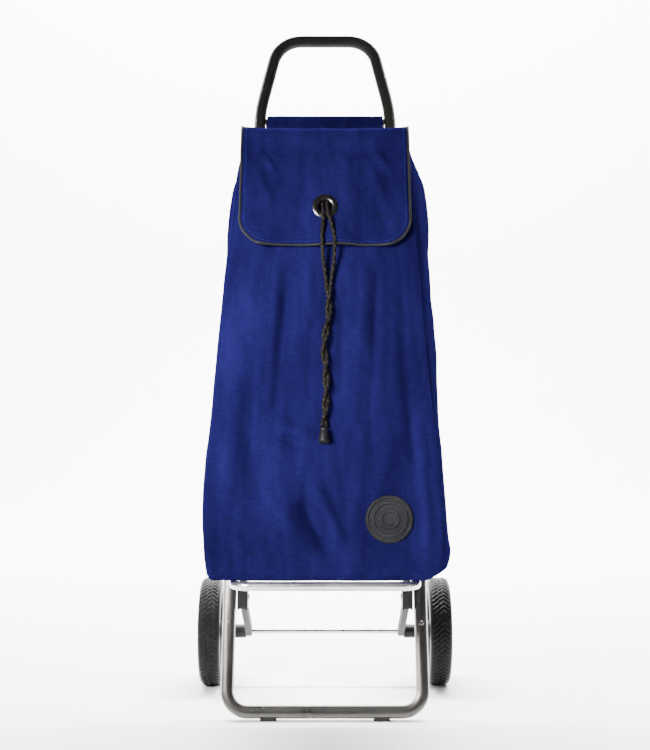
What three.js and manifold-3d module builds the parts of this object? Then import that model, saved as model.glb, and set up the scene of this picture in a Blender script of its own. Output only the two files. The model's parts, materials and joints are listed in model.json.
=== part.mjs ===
// A folding shopping trolley: a leaning frame of two bent tubes, a folding platform, a folding wheel
// carriage with two spinning wheels, and a cloth bag with a lid flap and a drawcord.
// Millimetres. +Z is up, +X is to the right and -Y is the front. The floor is z = 0.
import * as THREE from 'three';
import { mergeVertices } from 'three/addons/utils/BufferGeometryUtils.js';
import Module from 'manifold-3d';

const wasm = await Module();
wasm.setup();

// ---- Driving dimensions ----------------------------------------------------------------------

const GAP = 0.3; // between pieces that touch
const CENTRE_Y = 73.25; // middle of the depth, measured from the foot bar

// Frame: two tubes in one plane that leans back over the foot bar.
const LEAN = THREE.MathUtils.degToRad(16.16);
const FOOT_Z = 11.8;
const TUBE_WALL = 1.5;
// Degrees of bend between two rings of a swept tube.
const TUBE_STEP = 10;
const LEG_WIDTH = 18.4;
const LEG_DEPTH = 15;
const LEG_CORNER = 6;
const HANDLE_WIDTH = 16.4;
const HANDLE_DEPTH = 14;
const HANDLE_CORNER = 5.5;
const HANDLE_SHIFT = 0.9; // the handle tube sits outwards to leave room for its trim
const TRIM_SKIN = 1.5;
const FOOT_HALF = 137.3;
const FOOT_BEND = 29;
const LEG_KNEE = { u: 134.9, v: 210, bend: 400 };
const LEG_TOP = { u: 130.4, v: 305 };
const JOINER_COLLAR = 5;
const JOINER_SPIGOT = 25;
const HANDLE_KNEE = { u: 101.2, v: 921.7, bend: 200 };
const HANDLE_CROWN = { u: 73.3, v: 1042.1, bend: 45 };
const TRIM_END_V = 760;
const HANGER_V = 898.2;
const HANGER_ROD_RADIUS = 4;
const SLEEVE_HALF = 90.4;
const SLEEVE_HEIGHT = 25;
const SLEEVE_DEPTH = 11;

// Hinges between the legs. y is measured from the foot bar.
const PLATFORM_PIVOT = { y: 32, z: 211 };
const ARM_PIVOT = { y: 62, z: 163 };
const BRACKET_INNER = 110.2;
const BRACKET_OUTER = 125;
const SLOT_INNER = 113.2;
const SLOT_OUTER = 122.7;
const PLATFORM_PIN_RADIUS = 3;
const ARM_PIN_RADIUS = 4;
const RIVET_V = 122;

// Platform: one bent round tube with an eye in each end.
const PLATFORM_TUBE_RADIUS = 6;
const PLATFORM_WALL = 1.2;
const PLATFORM_FRONT_Y = -166;
const PLATFORM_HALF = 118.3;
const PLATFORM_BEND = 22;
const PLATFORM_TUBE_END_Y = 20;
const PLATFORM_EYE_RADIUS = 6.2;

// Wheels and carriage.
const WHEEL_RADIUS = 82.5;
const WHEEL_X = 175.5;
const TYRE_WIDTH = 34;
const RIM_RADIUS = 59;
const HUB_RADIUS = 16;
const HUB_HALF = 15;
const BEARING_OUTER = 6.7;
const AXLE = { y: 236, z: WHEEL_RADIUS };
const AXLE_RADIUS = 4;
const BUSH_RADIUS = 10.5;
const WHEEL_SEGMENTS = 28;

// Bag: half widths and front line by height. The back lies along the frame.
const CLOTH = 1.2;
const BAG_BASE_Z = 218;
const BACK_OFFSET = 11; // from the frame's middle plane to the outside of the back panel
const BAG_LEVELS = [
  { z: 219.5, front: -166, half: 143, bulge: 152 },
  { z: 232, front: -172, half: 150, bulge: 158 },
  { z: 345, front: -150, half: 148.5, bulge: 159.5 },
  { z: 470, front: -114, half: 137.5, bulge: 150.5 },
  { z: 640, front: -63, half: 124.5, bulge: 139.5 },
  { z: 793.7, front: -19.5, half: 113, bulge: 122 },
];
const BACK_TOP = { z: 846, half: 108 };
const HEM_Z = 803;
const HEM_HEIGHT = 17.4;
const HEM_DEPTH = 9;
const HEM_MOUTH = 14; // half of the break in the hem where the cord comes out
// How far the hem's outside stands beyond the panels, and its gap in front of the back panel.
const HEM_OVERHANG = 0.5;
const HEM_BACK_GAP = 2.6;
const HEM_CORNER = 14;
const HEM_STEP = 30;
const BOARD_THICK = 3;
const BADGE = { x: 82.5, z: 296, radius: 30.7, thick: 3.2 };
const STRAP_V = 420;
const STRAP_HEIGHT = 25;

// Flap: a lid that hinges on the back panel's top edge and drops in front.
const FLAP_HINGE = { y: 230, z: 850 };
const FLAP_LIFT = 8.8; // from the front panel to the middle of the flap's drop
const FLAP_TOP_Z = 821;
const FLAP_BOTTOM_Z = 657;
const FLAP_BEND = 10;
const FLAP_STEP = 25;
// The flap's first ring starts this far in front of its hinge line.
const HINGE_GAP = 2.5;
const FLAP_HALF_BACK = 110;
const FLAP_HALF_TOP = 112.5;
const FLAP_HALF_BOTTOM = 114;
const FLAP_CORNER = 40;
const PIPING_RADIUS = 1.7;
const EYELET = { z: 709.6, hole: 9.8, barrel: 11.4, rim: 17.4 };

// Cord: two strands of one drawcord, twisted together below the flap.
const CORD_RADIUS = 2.5;
const TWIST_RADIUS = 3.1;
const TWIST_TURNS = 2;
const BELL_HEIGHT = 19;

// ---- Materials -------------------------------------------------------------------------------

const material = (color, roughness, metalness) =>
  new THREE.MeshStandardMaterial({ color, roughness, metalness });
const POLISHED = () => material(0xc9cacc, 0.25, 1);
const ANODISED = () => material(0x4b4642, 0.4, 0.8);
const STEEL = () => material(0xb4b6b8, 0.3, 1);
const TRIM = () => material(0x3a3832, 0.6, 0);
const BLACK_PLASTIC = () => material(0x232325, 0.5, 0);
const GREY_PLASTIC = () => material(0x8c8787, 0.5, 0);
const TYRE = () => material(0x38383a, 0.7, 0);
const RUBBER = () => material(0x1d1d1e, 0.8, 0);
const BLUE_CLOTH = () => material(0x182064, 0.75, 0);
const PIPING = () => material(0x3c3c40, 0.7, 0);
const CORD = () => material(0x2b2725, 0.8, 0);
const GUNMETAL = () => material(0x54524f, 0.35, 0.9);
const BOARD = () => material(0x2e2e33, 0.7, 0);
const NYLON = () => material(0xd8d6cc, 0.5, 0);

// ---- Geometry helpers ------------------------------------------------------------------------

const vec = (x, y, z) => new THREE.Vector3(x, y, z);

/** A path through chosen stations, so straight runs take one step and bends several. */
class StationPath extends THREE.Curve {
  constructor(points, tangents, planeNormal = null) {
    super();
    this.points = points;
    this.tangents = tangents;
    this.planeNormal = planeNormal;
  }

  at(list, t) {
    return list[Math.round(t * (list.length - 1))].clone();
  }

  getPoint(t) {
    return this.at(this.points, t);
  }

  getPointAt(t) {
    return this.at(this.points, t);
  }

  getTangentAt(t) {
    return this.at(this.tangents, t);
  }

  getSpacedPoints() {
    return this.points.map((p) => p.clone());
  }

  computeFrenetFrames(segments, closed) {
    if (!this.planeNormal) return super.computeFrenetFrames(segments, closed);
    const normals = this.tangents.map(() => this.planeNormal.clone());
    const binormals = this.tangents.map((t) => t.clone().cross(this.planeNormal).normalize());
    return { tangents: this.tangents, normals, binormals };
  }
}

/** Stations along straight lines through the corners, each corner rounded to its radius. */
function filletedPath(corners, radii, degreesPerStep, planeNormal = null) {
  const points = [corners[0].clone()];
  const tangents = [corners[1].clone().sub(corners[0]).normalize()];
  for (let i = 1; i < corners.length - 1; i++) {
    const along = corners[i].clone().sub(corners[i - 1]).normalize();
    const away = corners[i + 1].clone().sub(corners[i]).normalize();
    const turn = along.angleTo(away);
    const axis = along.clone().cross(away).normalize();
    const start = corners[i].clone().addScaledVector(along, -radii[i - 1] * Math.tan(turn / 2));
    const inwards = axis.clone().cross(along);
    const centre = start.clone().addScaledVector(inwards, radii[i - 1]);
    const steps = Math.max(1, Math.ceil(THREE.MathUtils.radToDeg(turn) / degreesPerStep));
    for (let k = 0; k <= steps; k++) {
      const angle = (turn * k) / steps;
      points.push(start.clone().sub(centre).applyAxisAngle(axis, angle).add(centre));
      tangents.push(along.clone().applyAxisAngle(axis, angle));
    }
  }
  points.push(corners.at(-1).clone());
  tangents.push(corners.at(-1).clone().sub(corners.at(-2)).normalize());
  return new StationPath(points, tangents, planeNormal);
}

function sweep(shape, path) {
  const steps = path.points.length - 1;
  return new THREE.ExtrudeGeometry(shape, { steps, extrudePath: path, bevelEnabled: false });
}

/** Points of a rounded rectangle; a and b are its half sizes. */
function roundedOutline(a, b, radius, stepsPerCorner) {
  const points = [];
  for (let corner = 0; corner < 4; corner++) {
    const centreA = (corner === 0 || corner === 3 ? 1 : -1) * (a - radius);
    const centreB = (corner < 2 ? 1 : -1) * (b - radius);
    for (let k = 0; k <= stepsPerCorner; k++) {
      const angle = (Math.PI / 2) * (corner + k / stepsPerCorner);
      const x = centreA + radius * Math.cos(angle);
      points.push(new THREE.Vector2(x, centreB + radius * Math.sin(angle)));
    }
  }
  return points;
}

function roundOutline(radius, sides) {
  return Array.from({ length: sides }, (_, i) => {
    const angle = (2 * Math.PI * (i + 0.5)) / sides;
    return new THREE.Vector2(radius * Math.cos(angle), radius * Math.sin(angle));
  });
}

function shapeOf(outline, hole = null) {
  const shape = new THREE.Shape(outline);
  if (hole) shape.holes.push(new THREE.Path(hole));
  return shape;
}

/** A turned solid about the X axis from (radius, x) pairs that close on themselves or the axis. */
function turned(profile, segments) {
  const closes = profile[0][0] > 0;
  const points = (closes ? [...profile, profile[0]] : profile).map(([r, x]) => new THREE.Vector2(r, x));
  return outwards(new THREE.LatheGeometry(points, segments).rotateZ(-Math.PI / 2));
}

/** A rod or a ring along X from x = from to x = to. */
function rod(radius, from, to, sides, bore = 0) {
  const hole = bore > 0 ? roundOutline(bore, sides) : null;
  const shape = shapeOf(roundOutline(radius, sides), hole);
  const geometry = new THREE.ExtrudeGeometry(shape, { depth: to - from, bevelEnabled: false });
  return geometry.rotateY(Math.PI / 2).translate(from, 0, 0);
}

/** A plate whose (y, z) outline is extruded along X. */
function plateAlongX(outline, from, to, holes = []) {
  const shape = shapeOf(outline.map(([y, z]) => new THREE.Vector2(y, z)));
  holes.forEach(({ y, z, radius }) => {
    shape.holes.push(new THREE.Path(roundOutline(radius, 12).map((p) => p.add({ x: y, y: z }))));
  });
  const geometry = new THREE.ExtrudeGeometry(shape, { depth: to - from, bevelEnabled: false });
  const swap = new THREE.Matrix4().makeBasis(vec(0, 1, 0), vec(0, 0, 1), vec(1, 0, 0));
  return geometry.applyMatrix4(swap).translate(from, 0, 0);
}

function indexed(geometry) {
  const plain = new THREE.BufferGeometry();
  plain.setAttribute('position', geometry.getAttribute('position').clone());
  if (geometry.index) plain.setIndex(geometry.index.clone());
  return mergeVertices(plain, 1e-4);
}

/** The same solid with its faces turned outwards. */
function outwards(geometry) {
  const merged = indexed(geometry);
  const position = merged.getAttribute('position');
  const index = merged.index.array;
  const [a, b, c] = [vec(0, 0, 0), vec(0, 0, 0), vec(0, 0, 0)];
  const kept = [];
  let volume = 0;
  for (let i = 0; i < index.length; i += 3) {
    const [p, q, r] = [index[i], index[i + 1], index[i + 2]];
    if (p === q || q === r || r === p) continue;
    a.fromBufferAttribute(position, p);
    b.fromBufferAttribute(position, q);
    c.fromBufferAttribute(position, r);
    volume += a.dot(b.cross(c));
    kept.push(p, q, r);
  }
  if (volume < 0) kept.reverse();
  merged.setIndex(kept);
  return merged;
}

function toSolid(geometry) {
  const merged = outwards(geometry);
  const vertProperties = new Float32Array(merged.getAttribute('position').array);
  const triVerts = new Uint32Array(merged.index.array);
  return new wasm.Manifold(new wasm.Mesh({ numProp: 3, vertProperties, triVerts }));
}

function toGeometry(solid) {
  const mesh = solid.getMesh();
  const geometry = new THREE.BufferGeometry();
  geometry.setAttribute('position', new THREE.BufferAttribute(mesh.vertProperties, 3));
  geometry.setIndex(new THREE.BufferAttribute(mesh.triVerts, 1));
  return geometry;
}

function cut(body, ...tools) {
  return toGeometry(tools.reduce((solid, tool) => solid.subtract(toSolid(tool)), toSolid(body)));
}

function join(...bodies) {
  return toGeometry(bodies.map(toSolid).reduce((whole, next) => whole.add(next)));
}

/**
 * A ribbon of cloth through rows. Each row has matching outer and inner points, and the ribbon's
 * ends and edges are closed.
 */
function ribbon(rows) {
  const count = rows[0].outer.length;
  const rings = rows.map(({ outer, inner }) => [...outer, ...inner.toReversed()]);
  const size = 2 * count;
  const index = [];
  const quad = (a, b, c, d) => index.push(a, b, c, a, c, d);
  for (let row = 0; row < rows.length - 1; row++) {
    for (let k = 0; k < size; k++) {
      const next = (k + 1) % size;
      quad(row * size + k, row * size + next, (row + 1) * size + next, (row + 1) * size + k);
    }
  }
  const last = (rows.length - 1) * size;
  for (let k = 0; k < count - 1; k++) {
    quad(k, size - 1 - k, size - 2 - k, k + 1);
    quad(last + k, last + k + 1, last + size - 2 - k, last + size - 1 - k);
  }
  const geometry = new THREE.BufferGeometry();
  const positions = rings.flat().flatMap((p) => p.toArray());
  geometry.setAttribute('position', new THREE.Float32BufferAttribute(positions, 3));
  geometry.setIndex(index);
  return outwards(geometry);
}

function part(name, geometry, surface, parent) {
  const mesh = new THREE.Mesh(geometry, surface);
  mesh.name = name;
  parent.add(mesh);
  return mesh;
}

/** Adds the same piece on both sides; make(sign) gives the geometry, with sign -1 on the left. */
function pair(name, make, surface, parent) {
  part(`${name}_left`, make(-1), surface(), parent);
  part(`${name}_right`, make(1), surface(), parent);
}

const mirrored = (geometry, sign) => (sign < 0 ? outwards(geometry.clone().scale(-1, 1, 1)) : geometry);

const trolley = new THREE.Group();
trolley.position.y = -CENTRE_Y;

// ---- Frame: x is across, z runs up the tubes and y points to the rear --------------------------

const frame = new THREE.Group();
frame.rotation.x = -LEAN;
frame.position.z = FOOT_Z;
trolley.add(frame);
const REAR = vec(0, 1, 0);

/** The frame plane's y at a height. */
const planeY = (z) => (z - FOOT_Z) * Math.tan(LEAN);

function uprightPath(sideLine, steps) {
  const right = sideLine.map(({ u, v }) => vec(u, 0, v));
  const left = right.map((p) => vec(-p.x, 0, p.z)).reverse();
  const bends = sideLine.slice(1).map(({ bend }) => bend);
  return filletedPath([...right, ...left], [...bends, ...bends.toReversed()], steps, REAR);
}

function buildLowerFrame() {
  const path = uprightPath([LEG_TOP, LEG_KNEE, { u: FOOT_HALF, v: 0, bend: FOOT_BEND }], TUBE_STEP);
  const outer = roundedOutline(LEG_DEPTH / 2, LEG_WIDTH / 2, LEG_CORNER, 2);
  const bore = { a: LEG_DEPTH / 2 - TUBE_WALL, b: LEG_WIDTH / 2 - TUBE_WALL };
  const inner = roundedOutline(bore.a, bore.b, LEG_CORNER - TUBE_WALL, 1);
  const rivetHole = (sign) => rivetShank(2.3, 12).translate(sign * legU(RIVET_V), 0, RIVET_V);
  return cut(sweep(shapeOf(outer, inner), path), rivetHole(-1), rivetHole(1));
}

/** The middle of the leg at a distance v up the frame, below its knee. */
const legU = (v) => FOOT_HALF + ((LEG_KNEE.u - FOOT_HALF) * v) / LEG_KNEE.v;

function rivetShank(radius, halfLength) {
  return rod(radius, -halfLength, halfLength, 10).rotateZ(Math.PI / 2);
}

function buildRivet(sign) {
  const front = -LEG_DEPTH / 2 - GAP;
  const rear = LEG_DEPTH / 2 + GAP;
  const profile = [
    [0, front - 1.8], [2.2, front - 1.5], [3.6, front], [2, front],
    [2, rear], [3.2, rear], [2.4, rear + 1.4], [0, rear + 1.4],
  ];
  return turned(profile, 10).rotateZ(Math.PI / 2).translate(sign * legU(RIVET_V), 0, RIVET_V);
}

/** The handle tube starts above the joiner's collar, on the line from the leg's knee. */
const handleFoot = { u: LEG_TOP.u - 0.25, v: LEG_TOP.v + JOINER_COLLAR + 2 * GAP };
const handleLine = [handleFoot, HANDLE_KNEE, HANDLE_CROWN];
const handleU = (v) =>
  THREE.MathUtils.mapLinear(v, handleFoot.v, HANDLE_KNEE.v, handleFoot.u, HANDLE_KNEE.u);

function buildHandleTube() {
  const shift = (points) => points.map((p) => p.add({ x: 0, y: -HANDLE_SHIFT }));
  const half = { a: HANDLE_DEPTH / 2, b: HANDLE_WIDTH / 2 };
  const outer = shift(roundedOutline(half.a, half.b, HANDLE_CORNER, 2));
  const inner = shift(roundedOutline(half.a - TUBE_WALL, half.b - TUBE_WALL, HANDLE_CORNER - TUBE_WALL, 1));
  return sweep(shapeOf(outer, inner), uprightPath(handleLine, TUBE_STEP));
}

/** Half of the rounded outline: from the front face round the inner corner and along the inside. */
function trimLine(offset) {
  const radius = HANDLE_CORNER + offset;
  const front = -HANDLE_DEPTH / 2 - offset;
  const inside = HANDLE_WIDTH / 2 - HANDLE_SHIFT + offset;
  const points = [new THREE.Vector2(front, -4.4)];
  for (let k = 0; k <= 3; k++) {
    const angle = (Math.PI / 2) * (k / 3);
    const a = front + radius * (1 - Math.cos(angle));
    points.push(new THREE.Vector2(a, inside - radius * (1 - Math.sin(angle))));
  }
  points.push(new THREE.Vector2(3.4, inside));
  return points;
}

function buildHandleTrim() {
  const section = [...trimLine(GAP), ...trimLine(GAP + TRIM_SKIN).reverse()];
  const line = [{ u: handleU(TRIM_END_V), v: TRIM_END_V }, HANDLE_KNEE, HANDLE_CROWN];
  return sweep(shapeOf(section), uprightPath(line, TUBE_STEP));
}

/** A collar between leg and handle tube, with a spigot that fills each tube's end. */
function buildJoiner(sign) {
  const slab = (a, b, radius, from, to) => {
    const shape = shapeOf(roundedOutline(b, a, radius, 1));
    const block = new THREE.ExtrudeGeometry(shape, { depth: to - from, bevelEnabled: false });
    return block.translate(0, 0, from);
  };
  const legInside = { a: LEG_DEPTH / 2 - TUBE_WALL - GAP, b: LEG_WIDTH / 2 - TUBE_WALL - GAP };
  const handleInside = { a: HANDLE_DEPTH / 2 - TUBE_WALL - GAP, b: HANDLE_WIDTH / 2 - TUBE_WALL - GAP };
  const collar = slab(LEG_DEPTH / 2, LEG_WIDTH / 2, LEG_CORNER, GAP, GAP + JOINER_COLLAR);
  const below = slab(legInside.a - 0.6, legInside.b - 0.6, 3, -JOINER_SPIGOT, 1);
  const above = slab(handleInside.a - 0.6, handleInside.b - 0.9, 3, 1, JOINER_COLLAR + JOINER_SPIGOT);
  const whole = join(collar, below, above.translate(HANDLE_SHIFT * 0.8, 0, 0));
  const tilt = Math.atan2(LEG_KNEE.u - LEG_TOP.u, LEG_TOP.v - LEG_KNEE.v);
  whole.rotateY(-tilt).translate(LEG_TOP.u, 0, LEG_TOP.v);
  return mirrored(whole, sign);
}

/** A rubber pad that cups the foot bar from below and ends flat on the floor. */
function buildFootPad(sign) {
  const block = new THREE.BoxGeometry(22.5, 13, 6).translate(0, -0.7, 3);
  const bar = new THREE.ExtrudeGeometry(
    shapeOf(roundedOutline(LEG_DEPTH / 2 + GAP, LEG_WIDTH / 2 + GAP, LEG_CORNER + GAP, 3)),
    { depth: 60, bevelEnabled: false },
  );
  const lie = new THREE.Matrix4().makeBasis(vec(0, 1, 0), vec(0, 0, 1), vec(1, 0, 0));
  bar.applyMatrix4(lie).translate(-30, 0, 0).rotateX(-LEAN).translate(0, 0, FOOT_Z);
  return cut(block, bar).translate(sign * 79, 0, 0);
}

part('lower_frame_tube', buildLowerFrame(), ANODISED(), frame);
part('handle_tube', buildHandleTube(), POLISHED(), frame);
part('handle_trim', buildHandleTrim(), TRIM(), frame);
pair('frame_joiner', buildJoiner, BLACK_PLASTIC, frame);
pair('leg_rivet', buildRivet, STEEL, frame);
pair('foot_pad', buildFootPad, RUBBER, trolley);

// ---- Hanger: the cross rod that carries the bag -------------------------------------------------

const hanger = new THREE.Group();
hanger.position.z = HANGER_V;
frame.add(hanger);
const hangerReach = handleU(HANGER_V) - HANDLE_WIDTH / 2 + HANDLE_SHIFT - TRIM_SKIN - 2 * GAP;

part('hanger_rod', rod(HANGER_ROD_RADIUS, -hangerReach + GAP, hangerReach - GAP, 12), STEEL(), hanger);
pair(
  'hanger_end',
  (sign) => {
    const ring = rod(8, SLEEVE_HALF + GAP, hangerReach - GAP, 12, HANGER_ROD_RADIUS + GAP);
    return mirrored(ring, sign);
  },
  BLACK_PLASTIC,
  hanger,
);

/** A flat tunnel of cloth round the rod, with a tongue that runs down to the back panel. */
function buildHangerSleeve() {
  const half = { a: SLEEVE_DEPTH / 2, b: SLEEVE_HEIGHT / 2 };
  const outer = roundedOutline(half.b, half.a, half.a - 0.5, 2);
  const inner = roundedOutline(half.b - CLOTH, half.a - CLOTH, half.a - 0.5 - CLOTH, 2);
  const ends = { depth: 2 * SLEEVE_HALF, bevelEnabled: false };
  const tunnel = new THREE.ExtrudeGeometry(shapeOf(outer, inner), ends);
  tunnel.rotateY(Math.PI / 2).translate(-SLEEVE_HALF, 0, 0);
  const tongue = plateAlongX([[-3, -10.8], [-1, -12], [-9.4, -26], [-10.8, -25.4]], -88, 88);
  return join(tunnel, tongue);
}

part('bag_hanger_sleeve', buildHangerSleeve(), BLUE_CLOTH(), hanger);

// ---- Hinge brackets, pins and platform ----------------------------------------------------------

function buildBracket(sign) {
  const outline = [
    [8, 204.6], [8, 198], [20, 190], [43, 178], [43, 152], [47, 146], [72, 148], [75, 172],
    [72, 200], [60, 216.8], [24.5, 216.8], [24.5, 204.6],
  ];
  const holes = [
    { ...PLATFORM_PIVOT, radius: PLATFORM_PIN_RADIUS + GAP },
    { ...ARM_PIVOT, radius: ARM_PIN_RADIUS + GAP },
  ];
  const body = plateAlongX(outline, BRACKET_INNER, BRACKET_OUTER, holes);
  const eyeSlot = plateAlongX([[22, 202.5], [41, 202.5], [41, 230], [22, 230]], SLOT_INNER, SLOT_OUTER);
  // The slot is open behind and above, where the arm swings up to.
  const armSweep = [[46, 130], [90, 130], [90, 223], [53, 169.9], [46, 172]];
  const armSlot = plateAlongX(armSweep, SLOT_INNER, SLOT_OUTER);
  return mirrored(cut(body, eyeSlot, armSlot), sign);
}

function buildPin(radius, pivot, sign) {
  const profile = [
    [0, BRACKET_OUTER], [radius, BRACKET_OUTER], [radius, BRACKET_INNER - GAP],
    [radius + 2, BRACKET_INNER - GAP], [radius + 1.4, BRACKET_INNER - 2], [0, BRACKET_INNER - 2],
  ];
  return mirrored(turned(profile, 12).translate(0, pivot.y, pivot.z), sign);
}

pair('hinge_bracket', buildBracket, BLACK_PLASTIC, trolley);
pair('platform_pin', (sign) => buildPin(PLATFORM_PIN_RADIUS, PLATFORM_PIVOT, sign), STEEL, trolley);
pair('arm_pin', (sign) => buildPin(ARM_PIN_RADIUS, ARM_PIVOT, sign), STEEL, trolley);

function buildPlatformTube() {
  const z = PLATFORM_PIVOT.z;
  const corners = [
    vec(PLATFORM_HALF, PLATFORM_TUBE_END_Y, z), vec(PLATFORM_HALF, PLATFORM_FRONT_Y, z),
    vec(-PLATFORM_HALF, PLATFORM_FRONT_Y, z), vec(-PLATFORM_HALF, PLATFORM_TUBE_END_Y, z),
  ];
  const path = filletedPath(corners, [PLATFORM_BEND, PLATFORM_BEND], TUBE_STEP, vec(0, 0, 1));
  const bore = roundOutline(PLATFORM_TUBE_RADIUS - PLATFORM_WALL, 8);
  return sweep(shapeOf(roundOutline(PLATFORM_TUBE_RADIUS, 12), bore), path);
}

/** An eye on the platform pin, with a spigot that plugs the tube's end. */
function buildPlatformEye(sign) {
  const { y, z } = PLATFORM_PIVOT;
  const eye = [];
  for (let k = 0; k <= 8; k++) {
    const angle = Math.PI * (k / 8 - 0.5);
    eye.push([y + PLATFORM_EYE_RADIUS * Math.cos(angle), z + PLATFORM_EYE_RADIUS * Math.sin(angle)]);
  }
  eye.push([PLATFORM_TUBE_END_Y + GAP, z + 5.5], [PLATFORM_TUBE_END_Y + GAP, z - 5.5]);
  const blade = plateAlongX(eye, SLOT_INNER + 0.4, SLOT_OUTER - 0.4, [
    { y, z, radius: PLATFORM_PIN_RADIUS + GAP },
  ]);
  const spigot = rod(PLATFORM_TUBE_RADIUS - PLATFORM_WALL - 0.5, 0, 20, 10).rotateZ(-Math.PI / 2);
  spigot.translate(PLATFORM_HALF, PLATFORM_TUBE_END_Y + 4, z);
  return mirrored(join(blade, spigot), sign);
}

part('platform_tube', buildPlatformTube(), POLISHED(), trolley);
pair('platform_eye', buildPlatformEye, BLACK_PLASTIC, trolley);

// ---- Wheel carriage -----------------------------------------------------------------------------

/** A flat link from the bracket to the axle, as the outline round two circles. */
function buildArm(sign) {
  const ends = [{ ...ARM_PIVOT, radius: 9 }, { ...AXLE, radius: 8 }];
  const direction = Math.atan2(AXLE.z - ARM_PIVOT.z, AXLE.y - ARM_PIVOT.y);
  const outline = ends.flatMap(({ y, z, radius }, end) =>
    Array.from({ length: 7 }, (_, k) => {
      const angle = direction + Math.PI * (0.5 + end + k / 6);
      return [y + radius * Math.cos(angle), z + radius * Math.sin(angle)];
    }),
  );
  const plate = plateAlongX(outline, SLOT_INNER + 0.4, SLOT_OUTER - 0.4, [
    { ...ARM_PIVOT, radius: ARM_PIN_RADIUS + GAP },
    { ...AXLE, radius: AXLE_RADIUS + GAP },
  ]);
  return mirrored(plate, sign);
}

const carriage = new THREE.Group();
carriage.position.set(0, AXLE.y, AXLE.z);
trolley.add(carriage);
const wheelOutside = WHEEL_X + HUB_HALF;

pair('wheel_arm', buildArm, GREY_PLASTIC, trolley);
part('axle_rod', rod(AXLE_RADIUS, -wheelOutside - 3, wheelOutside + 3, 12), STEEL(), carriage);
pair(
  'axle_bush',
  (sign) => {
    const bush = rod(BUSH_RADIUS, SLOT_OUTER, WHEEL_X - HUB_HALF - GAP, 14, AXLE_RADIUS + GAP);
    return mirrored(bush, sign);
  },
  BLACK_PLASTIC,
  carriage,
);
pair(
  'axle_clip',
  (sign) => mirrored(rod(8, wheelOutside + GAP, wheelOutside + 1.5, 12, AXLE_RADIUS + GAP), sign),
  STEEL,
  carriage,
);

// ---- Wheels ---------------------------------------------------------------------------------------

const TYRE_PROFILE = [
  [RIM_RADIUS + GAP, -14], [66, -TYRE_WIDTH / 2], [76, -16.4], [81.2, -11.5],
  [WHEEL_RADIUS, -4], [WHEEL_RADIUS, 4], [81.2, 11.5], [76, 16.4], [66, TYRE_WIDTH / 2],
  [RIM_RADIUS + GAP, 14],
];
const RIM_PROFILE = [
  [BEARING_OUTER + GAP, -HUB_HALF], [HUB_RADIUS, -HUB_HALF], [HUB_RADIUS, -4], [51, -4], [53, -13.5],
  [RIM_RADIUS, -13.5], [RIM_RADIUS, 13.5], [53, 13.5], [51, 2], [HUB_RADIUS, 2],
  [HUB_RADIUS, HUB_HALF], [BEARING_OUTER + GAP, HUB_HALF],
];
const CAP_PROFILE = [
  [0, 20.5], [11, 20.5], [14.6, 18.2], [14.6, HUB_HALF + GAP], [12.8, HUB_HALF + GAP], [12.8, 17.8],
  [10.5, 19.1], [0, 19.1],
];

function buildWheel(side, sign) {
  const wheel = new THREE.Group();
  wheel.position.x = sign * WHEEL_X;
  carriage.add(wheel);
  part(`tyre_${side}`, mirrored(turned(TYRE_PROFILE, WHEEL_SEGMENTS), sign), TYRE(), wheel);
  part(`wheel_rim_${side}`, mirrored(turned(RIM_PROFILE, WHEEL_SEGMENTS), sign), GREY_PLASTIC(), wheel);
  part(`hub_cap_${side}`, mirrored(turned(CAP_PROFILE, 14), sign), BLACK_PLASTIC(), wheel);
  const bearing = rod(BEARING_OUTER, -HUB_HALF, HUB_HALF, 12, AXLE_RADIUS + GAP);
  part(`wheel_bearing_${side}`, mirrored(bearing, sign), NYLON(), wheel);
}

buildWheel('left', -1);
buildWheel('right', 1);

// ---- Bag --------------------------------------------------------------------------------------------

const bag = new THREE.Group();
trolley.add(bag);

/** The bag's y at the outside of its back panel, along the frame. */
const backY = (z) => planeY(z) - BACK_OFFSET / Math.cos(LEAN);

/** A value of the bag's levels at any height, on straight lines between them. */
function atLevel(z, key) {
  const passed = BAG_LEVELS.filter((level) => level.z <= z).length;
  const upper = THREE.MathUtils.clamp(passed, 1, BAG_LEVELS.length - 1);
  const low = BAG_LEVELS[upper - 1];
  const high = BAG_LEVELS[upper];
  return THREE.MathUtils.mapLinear(z, low.z, high.z, low[key], high[key]);
}

const frontY = (z) => atLevel(z, 'front');

/** The front panel's lean at a height, as an angle from upright. */
const frontLean = (z) => Math.atan2(frontY(z + 1) - frontY(z - 1), 2);

function buildFrontPanel() {
  const rows = BAG_LEVELS.map(({ z, front, half }) => {
    const edge = half - 0.2;
    return {
      outer: [vec(-edge, front, z), vec(edge, front, z)],
      inner: [vec(-edge, front + CLOTH, z), vec(edge, front + CLOTH, z)],
    };
  });
  const hole = rod(4.8, -6, 6, 12).rotateZ(Math.PI / 2).rotateX(-frontLean(BADGE.z));
  return cut(ribbon(rows), hole.translate(BADGE.x, frontY(BADGE.z), BADGE.z));
}

function buildBackPanel() {
  const rows = [...BAG_LEVELS, BACK_TOP].map(({ z, half }) => {
    const edge = half - 0.2;
    const back = backY(z);
    return {
      outer: [vec(-edge, back, z), vec(edge, back, z)],
      inner: [vec(-edge, back - CLOTH, z), vec(edge, back - CLOTH, z)],
    };
  });
  return ribbon(rows);
}

/** A side panel that swells outwards between its two seams. */
function buildGusset(sign) {
  const rows = BAG_LEVELS.map(({ z, front, half, bulge }) => {
    const seam = half + 0.1;
    const back = backY(z);
    const third = (back - front) / 3;
    return {
      outer: [
        vec(sign * (seam + CLOTH), front, z), vec(sign * bulge, front + third, z),
        vec(sign * bulge, front + 2 * third, z), vec(sign * (seam + CLOTH), back, z),
      ],
      inner: [
        vec(sign * seam, front, z), vec(sign * (bulge - CLOTH), front + third, z),
        vec(sign * (bulge - CLOTH), front + 2 * third, z), vec(sign * seam, back, z),
      ],
    };
  });
  return ribbon(rows);
}

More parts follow.
